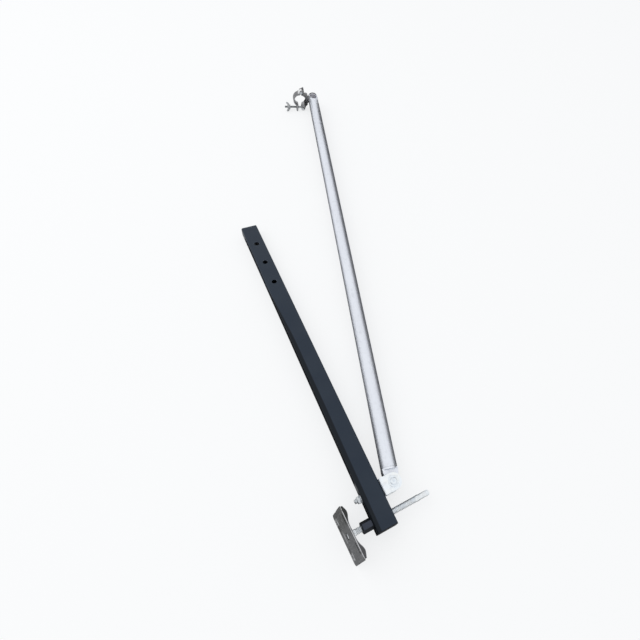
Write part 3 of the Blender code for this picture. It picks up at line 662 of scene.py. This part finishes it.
softened("pressed_foot_pad", "foot_pad", 0.7)
softened("bracket_channel", "brace_bracket", 0.8)
softened("tongue_fitting", "brace_end_fitting", 0.7)
softened("saddle_half", "coupler_saddle", 0.6)
softened("flap_half", "coupler_flap", 0.6)
print("pieces:", len(pieces), "nodes without one:", sorted(set(frame["nodes"]) - set(stood_in)))

# %% [markdown]
# ## Finishes
# A finish is a calculation done at every point of a surface. Written with nodes it soon can't be read, so
# one small class lets a socket be used like a number: `1 - mask` or `a * b + c` adds the Math nodes that do
# it. Every pattern is measured in millimetres from one of the seats above, so that extrusion lines run along
# the tube, rings run round a bolt, and a scratch stays where it is when the part moves. Where a finish
# differs from place to place, a small function turns the recipe into a mask of that place, and it is handed
# to the finish by name. A tone multiplies the colours.

# %% Sockets that calculate
def operation(name, swapped=False):
    """An operator that adds the Math node of that name."""
    def apply(self, other):
        pair = (other, self) if swapped else (self, other)
        return self.recipe.node("Math", {"operation": name}, dict(enumerate(pair)))
    return apply


class Field:
    """A value that changes over a surface: a socket with the arithmetic operators."""

    def __init__(self, recipe, socket):
        self.recipe, self.socket = recipe, socket

    __add__ = __radd__ = operation("ADD")
    __mul__ = __rmul__ = operation("MULTIPLY")
    __sub__, __rsub__ = operation("SUBTRACT"), operation("SUBTRACT", True)
    __truediv__, __pow__, __mod__ = operation("DIVIDE"), operation("POWER"), operation("FLOORED_MODULO")
    least, most = operation("MINIMUM"), operation("MAXIMUM")

    def size(self):
        return self.most(self * -1)

    def rise(self, low, high):
        """0 below low, 1 above high, and a smooth step between."""
        inputs = {"Value": self, "From Min": low, "From Max": high}
        return self.recipe.node("MapRange", {"interpolation_type": "SMOOTHSTEP"}, inputs)

    def fall(self, low, high):
        return 1 - self.rise(low, high)


# %% A recipe for one finish
class Recipe:
    """A material. node() makes any node. The other methods are short names for the ones used most."""

    def __init__(self, name, seat, shine=0.5):
        self.material = bpy.data.materials.new(name)
        self.material.use_nodes = True
        self.tree = self.material.node_tree
        self.shader = self.tree.nodes["Principled BSDF"]
        self.shader.inputs["Specular IOR Level"].default_value = shine
        where = {"Location": tuple(seat.origin), "Rotation": seat.matrix().to_euler(), "Scale": (MM, MM, MM)}
        where["Vector"] = self.node("TexCoord", output="Object")
        self.place = self.node("Mapping", {"vector_type": "TEXTURE"}, where)
        parts = [self.node("SeparateXYZ", {}, {0: self.place}, k) for k in range(3)]
        self.x, self.y, self.z = parts

    def feed(self, socket, value):
        """Links a field to a socket, or sets the socket's own value."""
        if isinstance(value, Field):
            self.tree.links.new(value.socket, socket)
        else:
            socket.default_value = value

    def node(self, kind, settings=None, inputs=None, output=0):
        made = self.tree.nodes.new("ShaderNode" + kind)
        for key, value in (settings or {}).items():
            setattr(made, key, value)
        for key, value in (inputs or {}).items():
            self.feed(made.inputs[key], value)
        return Field(self, made.outputs[output])

    def noise(self, per_mm, detail, stretch=(1, 1, 1), shift=0.0):
        """Cloudy noise whose lumps are about 1 / per_mm millimetres wide, longer where stretch is below 1."""
        inputs = {0: self.place, 1: [s * per_mm for s in stretch], 2: (shift, shift * 1.7, -shift)}
        vector = self.node("VectorMath", {"operation": "MULTIPLY_ADD"}, inputs)
        return self.node("TexNoise", {}, {"Vector": vector, "Scale": 1.0, "Detail": detail})

    def crystals(self, per_mm):
        """One value from 0 to 1 for each cell. The cells are about 1 / per_mm millimetres wide."""
        cells = self.node("TexVoronoi", {}, {"Vector": self.place, "Scale": per_mm}, "Color")
        return self.node("SeparateColor", {}, {0: cells})

    def mix(self, mask, below, above):
        """One colour where the mask is 0 and another where it is 1."""
        colours = [c if isinstance(c, Field) else (*c, 1.0) for c in (below, above)]
        return self.node("Mix", {"data_type": "RGBA"}, {0: mask, 6: colours[0], 7: colours[1]}, 2)

    def radius(self, a, b):
        return (a * a + b * b) ** 0.5

    def finish(self, colour, metal, roughness, *reliefs):
        """Feeds the shader. Each relief is (height, depth in millimetres), one bump on top of the other."""
        normal = None
        for height, depth in reliefs:
            inputs = {"Height": height, "Distance": depth * MM, "Strength": 1.0}
            if normal:
                inputs["Normal"] = normal
            normal = self.node("Bump", {}, inputs)
        values = {"Base Color": colour, "Metallic": metal, "Roughness": roughness, "Normal": normal}
        for socket, value in values.items():
            self.feed(self.shader.inputs[socket], value)
        return self.material


# %% From a finish to the pieces
def wear(material, *names):
    """Puts a finish on pieces."""
    for name in names:
        pieces[name].data.materials.clear()
        pieces[name].data.materials.append(material)
    print(material.name, "on", *names)


# %% [markdown]
# ### Black powder coat
# Powder is baked on, and the film shrinks a little as it flows, which leaves a fine orange peel. It is a
# blue black rather than a neutral one. It is rubbed through on the rolled corners, round the pin holes and
# at the end that slides into the tower's base, and it has long scuffs. A near black painted shade lies in a
# band along the arm's left edge and on four sides and the rounded end of the sleeve.

# %% Powder coat
COAT, COAT_DUSTY = (0.0058, 0.0150, 0.0305), (0.016, 0.026, 0.041)
# The near black colour on the next line, after bare steel, is a painted shade.
BARE_STEEL, SHADE_BLACK = (0.16, 0.175, 0.20), (0.012, 0.015, 0.019)
SLEEVE_TONE = (2.6, 1.75, 1.55)
BAND_WIDTH, BAND_FADES = 12.5, (560, 880)


def powder_coat(name, seat, worn, painted_shade, tone=(1, 1, 1)):
    """worn: where the coat is rubbed through. painted_shade: where a near black painted shade lies."""
    r = Recipe("black powder coat, " + name, seat, 0.35)
    cloud, peel = r.noise(0.012, 4), r.noise(0.55, 2)
    chips = r.noise(0.16, 6, shift=11).rise(0.56, 0.64)
    scuffs = r.noise(0.5, 3, (1, 0.012, 1), 5).rise(0.60, 0.74) * r.noise(0.01, 2, shift=3).rise(0.42, 0.6)
    rubbed, shaded = worn(r), painted_shade(r)
    bare = (rubbed * (0.15 + 0.85 * chips)).least(1)
    dust = (cloud.rise(0.35, 0.7) * 0.45 + scuffs * 0.35).least(1)
    colour = r.mix(dust, np.multiply(COAT, tone), np.multiply(COAT_DUSTY, tone))
    colour = r.mix(bare * 0.8, colour, BARE_STEEL)
    # Painted shade: near black where that mask is set.
    colour = r.mix(shaded, colour, SHADE_BLACK)
    metal = (bare * 0.7).most(shaded * 0.8)
    roughness = 0.40 + 0.12 * cloud + 0.08 * scuffs - 0.10 * bare
    return r.finish(colour, metal, roughness, (peel, 0.05), (chips * rubbed, -0.06))


def arm_wear(r):
    """The rolled corners in patches, the rims of the pin holes and the open end."""
    flat_x, flat_z = ARM_HALF[0] - ARM_CORNER, ARM_HALF[1] - ARM_CORNER
    corner = (r.x.size() - flat_x).least(r.z.size() - flat_z).rise(2.2, 5.0)
    along = (r.y - (PIN_HOLES[-1] - PIN_PITCH / 2)) % PIN_PITCH - PIN_PITCH / 2
    rims = r.radius(r.x, along).fall(PIN_RADIUS + 0.6, PIN_RADIUS + 2.6)
    rims = rims * r.y.rise(PIN_HOLES[-1] - 58, PIN_HOLES[-1] - 51) * 0.7
    ends = r.y.rise(ARM_END - 5, ARM_END)
    return (corner * r.noise(0.02, 3, shift=7).rise(0.48, 0.68) * 0.45).most(rims).most(ends * 0.8)


def arm_shade_band(r):
    """A painted shade: a dark band down the arm's left edge that runs out below the pin holes."""
    width = BAND_WIDTH * r.y.fall(*BAND_FADES) + 3 * (r.noise(0.006, 3, shift=19) - 0.5)
    return (r.x + ARM_HALF[0] - width).fall(-1.6, 1.6) * 0.92


def sleeve_wear(r):
    return r.z.fall(SLEEVE_END + 0.4, SLEEVE_END + 2.5) * 0.8


def sleeve_painted_shade(r):
    """Painted shade on all sides of the six-sided sleeve but the top and bottom one, and on its rounded end."""
    half_side = SLEEVE_FLATS / 2 * math.tan(math.pi / 6)
    sides = r.y.size().rise(half_side - 0.6, half_side + 0.3)
    return sides.most(r.z.fall(SLEEVE_END + 2.6, SLEEVE_END + 5.0)) * 0.95


wear(powder_coat("arm", arm_seat, arm_wear, arm_shade_band), "arm_tube")
wear(powder_coat("sleeve", jack_seat, sleeve_wear, sleeve_painted_shade, SLEEVE_TONE), "jack_tube")

# %% [markdown]
# ### Black plastic
# The caps and the two thin discs in the pivot are moulded. Moulded plastic has a faint grain from the mould,
# and it greys where it rubs.

# %% Moulded plastic
PLASTIC, PLASTIC_GREY, PAINTED_LIGHT_PALE = (0.0095, 0.011, 0.0135), (0.030, 0.033, 0.038), (0.78, 0.78, 0.84)


def moulded(name, seat, painted_light=None):
    """painted_light: where it is painted pale, as painted light in a place of shade."""
    r = Recipe("moulded plastic, " + name, seat, 0.4)
    grain, cloud = r.noise(1.6, 2), r.noise(0.05, 3, shift=2)
    scratch = r.noise(0.7, 3, (1, 0.06, 0.3), 9).rise(0.6, 0.7)
    colour = r.mix((cloud.rise(0.4, 0.75) * 0.5 + scratch * 0.4).least(1), PLASTIC, PLASTIC_GREY)
    if painted_light:
        # Painted light: the masked part is pale.
        colour = r.mix(painted_light(r) * (0.75 + 0.25 * cloud), colour, PAINTED_LIGHT_PALE)
    return r.finish(colour, 0.0, 0.46 + 0.16 * cloud, (grain, 0.03), (scratch, -0.02))


def inside_the_plug(r):
    """The plug's hollow, which the window shows. It is painted pale: painted light inside the shaded tube."""
    return r.y.fall(TUBE_END - 0.9, TUBE_END - 0.2)


wear(moulded("arm cap", arm_seat), "arm_foot_cap")
wear(moulded("brace plug", pivot_seat, inside_the_plug), "brace_plug")
wear(moulded("pivot discs", hinge_seat), "tongue_disc_near", "tongue_disc_far")

# %% [markdown]
# ### Bright zinc
# Screws, nuts, the spindle and the bracket are zinc plated. Clear passivated zinc is a cool white metal with
# a faint yellow or blue drift from place to place. It dulls in patches, and grease gathers in the roots of
# the threads.

# %% Zinc plate
ZINC_COOL, ZINC_WARM, ZINC_DULL = (0.72, 0.765, 0.81), (0.78, 0.785, 0.76), (0.52, 0.54, 0.57)
GREASE = (0.035, 0.033, 0.03)


def zinc_plate(name, seat, tone=1.0, rough=0.27, grease=None, stretch=(1, 1, 1)):
    """grease: where dirt gathers."""
    r = Recipe("zinc plate, " + name, seat)
    drift, dull = r.noise(0.045, 2), r.noise(0.11, 5, shift=4)
    fine = r.noise(1.4, 3, stretch, 8)
    cool, warm, grey = (np.multiply(colour, tone) for colour in (ZINC_COOL, ZINC_WARM, ZINC_DULL))
    colour = r.mix(drift.rise(0.35, 0.68) * 0.5, cool, warm)
    colour = r.mix(dull.rise(0.45, 0.72) * 0.35, colour, grey)
    dirt = grease(r) if grease else dull.rise(0.66, 0.8) * 0.3
    colour = r.mix(dirt, colour, GREASE)
    roughness = rough + 0.16 * dull + 0.07 * fine + 0.15 * dirt
    return r.finish(colour, 0.96 - 0.5 * dirt, roughness, (fine, 0.012), (dull, 0.02))


def in_spindle_roots(r):
    roots = r.radius(r.x, r.y).fall(SPINDLE - 1.3, SPINDLE - 0.1)
    threaded = r.z.rise(shoulder + 2, shoulder + 6) * r.z.fall(THREAD_TOP - 1, THREAD_TOP + 2)
    return roots * threaded * (0.02 + 0.15 * r.noise(0.06, 3, shift=6))


def in_eye_bolt_roots(r):
    roots = r.radius(r.y, r.z).fall(EYE_SHANK - 0.7, EYE_SHANK - 0.05)
    return roots * r.x.rise(THREAD_FROM - 1, THREAD_FROM + 1) * 0.6


def on_bracket(r):
    """Dirt and the arm's rubbed off paint, where the bracket bends against the arm."""
    near_the_arm = r.x.fall(ARM_HALF[0] + 4, ARM_HALF[0] + 12)
    return r.noise(0.05, 5, shift=13).rise(0.6, 0.75) * near_the_arm * 0.5


round_z, round_x = (1, 1, 0.08), (0.08, 1, 1)
wear(zinc_plate("spindle", jack_seat, 1.08, 0.30, in_spindle_roots, round_z), "jack_screw")
wear(zinc_plate("ball and screw", jack_seat, 0.82, 0.3), "foot_ball", "foot_screw")
wear(zinc_plate("bracket", bracket_seat, 1.18, 0.36, on_bracket), "bracket_channel")
wear(zinc_plate("bracket bolt", bolt_seat, 0.96, 0.28, None, round_x),
     "bracket_fixing_bolt", "bracket_back_washer", "bracket_back_nut")
wear(zinc_plate("pivot", hinge_seat, 1.13, 0.4),
     "pivot_dome_bolt", "pivot_nut_plain", "pivot_disc_near", "pivot_disc_far")
wear(zinc_plate("coupler bolts", coupler_seat, 0.85, 0.3, None, round_x),
     "coupler_swivel_bolt", "tube_inner_washer", "tube_inner_nut", "flap_hinge_pin",
     "eye_bolt_hinge_pin")
wear(zinc_plate("eye bolt", eye_seat, 0.62, 0.32, in_eye_bolt_roots, round_x), "eye_bolt_threaded")
wear(zinc_plate("wing nut", eye_seat, 0.55, 0.42), "clamp_disc", "cast_wing_nut")

# %% [markdown]
# ### Aluminium tube
# Extruded tube carries fine die lines along its whole length, and they spread its highlight. Handling leaves
# short scratches across it and a duller grey where it has been clamped.

# %% Extruded aluminium
ALLOY, ALLOY_DEEP, OXIDE = (0.80, 0.835, 0.90), (0.72, 0.745, 0.81), (0.58, 0.60, 0.65)
SCRATCH, BORE_SKIN = (0.40, 0.42, 0.46), (0.78, 0.78, 0.82)


def extruded(name, seat, lined, bore=0.0):
    """lined: how deep the die lines are. Inside the bore radius the metal has its dull white oxide."""
    r = Recipe(name, seat)
    cloud, oxide = r.noise(0.006, 4, (1, 0.5, 1)), r.noise(0.08, 5, shift=3)
    lines = r.noise(1.1, 4, (1, 0.0015, 1), 6)
    nicks = r.noise(0.35, 4, (0.25, 1, 0.25), 12).rise(0.68, 0.76)
    nicks = nicks * r.noise(0.008, 2, shift=21).rise(0.45, 0.6)
    scratch = r.noise(0.5, 3, (1, 0.02, 1), 16).rise(0.66, 0.74)
    inside = r.radius(r.x, r.z).fall(bore + 0.3, bore + 1.0)
    colour = r.mix(cloud.rise(0.3, 0.75) * 0.55, ALLOY, ALLOY_DEEP)
    colour = r.mix(oxide.rise(0.5, 0.8) * 0.4, colour, OXIDE)
    colour = r.mix((nicks * 0.45 + scratch * 0.18 * lined).least(1), colour, SCRATCH)
    colour = r.mix(inside, colour, BORE_SKIN)
    metal = 0.96 - 0.10 * oxide - 0.7 * inside
    roughness = 0.34 + 0.10 * cloud + 0.08 * oxide + 0.10 * lines + 0.1 * nicks + 0.15 * inside
    return r.finish(colour, metal, roughness, (lines, 0.015 * lined), (nicks, -0.02))


wear(extruded("extruded aluminium, brace", pivot_seat, 1.0, BORE), "brace_tube_open")
wear(extruded("machined aluminium, end fitting", pivot_seat, 0.3), "tongue_fitting", "fitting_rivet_head")

# %% [markdown]
# ### Pressed foot plate
# The foot is pressed from galvanised sheet. Hot zinc freezes in crystals, the spangle, which show as facets
# of slightly different grey. This foot has been under load on concrete, so it is scraped and dirty. It has a
# painted highlight along its wavy rim, and it is made darker towards one end.

# %% Galvanised sheet
SPANGLE_DARK, SPANGLE_LIGHT = (0.074, 0.076, 0.080), (0.116, 0.118, 0.124)
PAD_DARK, SCRAPED_AND_HIGHLIGHT = (0.036, 0.038, 0.036), (0.60, 0.61, 0.63)
PAD_HALF = (55.5, 67.0)
SOLE = -10.2


def pad_edge_highlight_and_wear(r):
    """Bright edges of the sheet: a painted highlight along the wavy rim, whose height is
    -6.5 + 8.2 exp(-((|y| / half - 0.70) / 0.24)^2), and scraped metal round the sole."""
    lump = ((r.y.size() / PAD_HALF[1] - 0.70) / 0.24) ** 2 * -1
    rim = -6.5 + 8.2 * r.node("Math", {"operation": "EXPONENT"}, {0: lump})
    along_rim = (r.z - rim).rise(-1.3, -0.5) * r.x.size().rise(PAD_HALF[0] - 4.0, PAD_HALF[0] - 3.2)
    outside = (r.x.size() - (PAD_HALF[0] - 0.6)).most(r.y.size() - (PAD_HALF[1] - 0.6)).rise(0, 0.5)
    return along_rim.most(outside * r.z.fall(SOLE + 1.2, SOLE + 2.0))


def pad_marks(r):
    """Three places on the sole that are painted bright: one at each end and one in the middle."""
    ends = (r.x - 39).size().fall(9, 13) * (r.y.size() - 45).size().fall(7, 11) * 0.75
    middle = (r.x - 27).size().fall(2.5, 6.0) * (r.y - 3).size().fall(12, 20) * 0.45
    return ends.most(middle) * (0.35 + 0.55 * r.noise(0.14, 5, shift=31).rise(0.38, 0.62))


def galvanised(name, seat):
    r = Recipe(name, seat)
    facet = r.crystals(0.16)
    cloud, grime = r.noise(0.03, 4), r.noise(0.09, 6, shift=5)
    scrape = r.noise(0.6, 4, (0.05, 1, 1), 14).rise(0.58, 0.72)
    under = r.z.fall(SOLE, SOLE + 0.3)
    dirt = (grime.rise(0.42, 0.72) * (0.2 + 0.2 * under)).least(0.75)
    # Bright: scrapes on the sole, worn edges round it, and a painted highlight along the rim.
    bright = (scrape * under * 0.22 + pad_edge_highlight_and_wear(r) * grime.rise(0.3, 0.5) * 0.9).least(1)
    bright = bright.most(pad_marks(r) * under)
    colour = r.mix(facet * 0.35 + 0.4 * cloud, SPANGLE_DARK, SPANGLE_LIGHT)
    # Dirt, and a plain darkening towards the sheet's +y end, in the same dark colour.
    colour = r.mix(dirt.most(r.y.rise(-5, 40) * 0.9), colour, PAD_DARK)
    colour = r.mix(bright, colour, SCRAPED_AND_HIGHLIGHT)
    metal, roughness = 0.88 - 0.45 * dirt, 0.42 + 0.12 * facet + 0.14 * grime - 0.1 * bright
    return r.finish(colour, metal, roughness, (facet, 0.02), (grime, 0.06), (scrape * under, -0.05))


wear(galvanised("galvanised sheet, foot", foot_seat), "pressed_foot_pad")

# %% [markdown]
# ### Forged coupler
# The coupler's halves are forged and blackened. The skin is slightly rough, the bore is polished by the
# chord that it grips, and the outer edges are rubbed to bare metal.

# %% Forged steel
SKIN_DARK, SKIN_LIGHT, PIT = (0.15, 0.152, 0.158), (0.24, 0.242, 0.25), (0.05, 0.045, 0.04)
RUBBED, NEAR_WHITE = (0.46, 0.47, 0.49), (0.88, 0.89, 0.90)


def forged(name, seat, centre, tone, whitened=None):
    """centre: where the bore's axis crosses the seat's x and z. whitened: where it is painted near white."""
    r = Recipe("forged steel, " + name, seat)
    skin, cloud, pits = r.noise(0.5, 5), r.noise(0.06, 4, shift=3), r.noise(1.2, 3, shift=9).rise(0.62, 0.72)
    reach = r.radius(r.x - centre[0], r.z - centre[1])
    bore = reach.fall(RING_BORE + 0.2, RING_BORE + 1.2) * (0.5 + 0.5 * cloud)
    edge = r.y.size().rise(COUPLER_HALF - 1.1, COUPLER_HALF + 0.1)
    edge = edge * r.noise(0.12, 4, shift=17).rise(0.42, 0.6)
    bare = bore.most(edge * 0.6)
    colour = r.mix(cloud.rise(0.3, 0.7), np.multiply(SKIN_DARK, tone), np.multiply(SKIN_LIGHT, tone))
    colour = r.mix(pits * 0.5, colour, PIT)
    colour = r.mix(bare * 0.7, colour, RUBBED)
    if whitened:
        colour = r.mix(whitened(r), colour, NEAR_WHITE)
    roughness = 0.42 + 0.14 * skin + 0.10 * cloud - 0.14 * bare
    return r.finish(colour, 0.85 - 0.25 * pits, roughness, (skin, 0.05), (pits, -0.05))


# The flap's lug is painted near white.
def flap_lug(r):
    lug = r.z.rise(-9, -1) * r.x.rise(-11, -6) * r.x.fall(30, 44)
    return lug * (0.72 + 0.4 * r.noise(0.1, 4, shift=23)).least(0.92)


wear(forged("saddle", coupler_seat, (RING_X, 0.0), 1.0), "saddle_half", "saddle_spacer")
flap_seat = coupler_seat.moved((RING_X + HINGE[0], 0, HINGE[1])).spun(-FLAP_REST, 1)
wear(forged("flap", flap_seat, (-HINGE[0], -HINGE[1]), 1.25, flap_lug), "flap_half")

# %% The CAD nodes get the finish of the pieces that replace them
for node, obj in frame["nodes"].items():
    for slot in obj.material_slots:
        slot.material = pieces[stood_in[node]].data.materials[0]
print("finishes:", len({piece.data.materials[0] for piece in pieces.values()}), "pieces:", len(pieces))

# %% [markdown]
# ## Light and floor
# The part is shown as in a catalogue: white paper under it and white all round. One very large soft lamp
# above gives the shadow its direction and the world gives the rest. Polished metal in an all white room
# would lose its shape, so photographers lay black cards beside it. The three here are seen by reflections
# only, and they draw the dark lines along the tube's and the spindle's edges and down the arm's side.
# Reflections don't see the lamp, which would lie on the tube as a bright streak.

# %% Plain surfaces
PAPER, PAPER_WHITE, PAPER_GLOW = (0.935, 0.94, 0.945), (0.955, 0.965, 0.975), 0.78
CARD_BLACK = (0.02, 0.02, 0.022)


def looked_at(tree):
    """1 for rays from the camera, from mirrors and through glass, and 0 for the rays that carry light."""
    path = tree.nodes.new("ShaderNodeLightPath")
    seen = path.outputs["Is Camera Ray"]
    for other in ("Is Glossy Ray", "Is Transmission Ray"):
        add = tree.nodes.new("ShaderNodeMath")
        add.operation = "MAXIMUM"
        tree.links.new(seen, add.inputs[0])
        tree.links.new(path.outputs[other], add.inputs[1])
        seen = add.outputs[0]
    return seen


def plain(name, colour, glow):
    """A flat colour. A glow of 0.5 makes it look half white of itself, without more light on the part."""
    material = bpy.data.materials.new(name)
    material.use_nodes = True
    tree = material.node_tree
    shader = tree.nodes["Principled BSDF"]
    values = {"Base Color": (*colour, 1.0), "Roughness": 0.9, "Specular IOR Level": 0.0}
    for socket, value in values.items():
        shader.inputs[socket].default_value = value
    if glow:
        kinds = ("Emission", "MixShader", "Math")
        white, blend, share = (tree.nodes.new("ShaderNode" + kind) for kind in kinds)
        white.inputs["Color"].default_value = (*PAPER_WHITE, 1.0)
        share.operation = "MULTIPLY"
        share.inputs[1].default_value = glow
        tree.links.new(looked_at(tree), share.inputs[0])
        for socket, source in zip(blend.inputs, (share, shader, white)):
            tree.links.new(source.outputs[0], socket)
        tree.links.new(blend.outputs[0], tree.nodes["Material Output"].inputs["Surface"])
    return material


def stage_piece(name, points, faces, colour, glow=0.0):
    mesh = bpy.data.meshes.new(name)
    mesh.from_pydata(points.tolist(), [], faces)
    mesh.materials.append(plain(name, colour, glow))
    obj = linked(name, mesh)
    return obj


# %% White paper and black cards
FLOOR_HALF = 30.0
corners = FLOOR_HALF * np.array([[-1, -1, 0], [1, -1, 0], [1, 1, 0], [-1, 1, 0]], float)
stage_piece("white paper", corners, [(0, 1, 2, 3)], PAPER, PAPER_GLOW)


def black_card(name, seat, start, stop, profile, far=1.0):
    """A card folded to a profile of (distance to the right, height), laid on the floor along a seat's Y axis.
    At the stop end its heights are multiplied by far. Only reflections see it."""
    ends = seat.put([(0, start, 0), (0, stop, 0)])[:, None, :] * (1, 1, 0)
    right = unit(np.cross(ends[1, 0] - ends[0, 0], (0, 0, 1)))
    fold = np.array([[right * a * MM + (0, 0, h * grow * MM) for a, h in profile] for grow in (1.0, far)])
    count = len(profile)
    faces = [(i, i + 1, count + i + 1, count + i) for i in range(count - 1)]
    card = stage_piece(name, (ends + fold).reshape(-1, 3), faces, CARD_BLACK)
    for ray in ("camera", "diffuse", "shadow", "transmission", "volume_scatter"):
        setattr(card, "visible_" + ray, False)


# The brace's card rises on both sides of it, so both edges of the tube reflect black.
trough = [(-50, 34), (-42, 1), (72, 1), (78, 76)]
spindle_line = Seat(jack_seat.origin, arm_seat.axes[1], arm_seat.axes[0])
black_card("black card by the brace", pivot_seat, 12, 1890, trough, 1.9)
black_card("black card by the arm", arm_seat, 140, 1160, [(-95, 1), (-31, 1)])
black_card("black card by the spindle", spindle_line, -84, 150, [(-90, 1), (90, 1)])
print("on the stage: paper and three black cards")

# %% Lamp
LAMP_PLACE, LAMP_SIZE, LAMP_WATTS = (-2.4, 1.8, 4.2), 6.0, 90.0
lamp_data = bpy.data.lights.new("softbox", "AREA")
lamp_data.shape, lamp_data.size, lamp_data.energy = "DISK", LAMP_SIZE, LAMP_WATTS
lamp = linked("softbox", lamp_data)
lamp.location = LAMP_PLACE
lamp.rotation_euler = (-lamp.location).to_track_quat("-Z", "Y").to_euler()
lamp.visible_glossy = False
print("a lamp of", LAMP_WATTS, "watts")

# %% World
ROOM_LIGHT = 0.82
world = bpy.data.worlds.new("white room")
bpy.context.scene.world = world
world.use_nodes = True
tree = world.node_tree
sky = tree.nodes["Background"]
sky.inputs["Color"].default_value = (1, 1, 1, 1)
strength = tree.nodes.new("ShaderNodeMapRange")
strength.inputs["To Min"].default_value = ROOM_LIGHT
strength.inputs["To Max"].default_value = 1.0
tree.links.new(looked_at(tree), strength.inputs["Value"])
tree.links.new(strength.outputs[0], sky.inputs["Strength"])
print("light from the room:", ROOM_LIGHT)

# %% [markdown]
# ## Camera
# The photograph looks down along the part with a fairly wide lens, and the arm and the brace run away from
# the camera. The place, the turn and the lens come from matching the corners and holes that can be measured
# in both.

# %% Camera
LENS, SHIFT = 22.29664801783, (-0.08214997864863, -0.00617477841646)
CAMERA_PLACE, CAMERA_TURN = (-0.33151869, -0.96658881, 1.20651477), (31.22698701, -1.8925886, -26.67750159)

camera_data = bpy.data.cameras.new("camera")
camera_data.lens = LENS
camera_data.shift_x, camera_data.shift_y = SHIFT
camera = linked("camera", camera_data)
camera.location = CAMERA_PLACE
camera.rotation_euler = [math.radians(angle) for angle in CAMERA_TURN]
bpy.context.scene.camera = camera
bpy.context.scene.view_settings.view_transform = "Standard"
print("lens in millimetres:", round(LENS, 1))
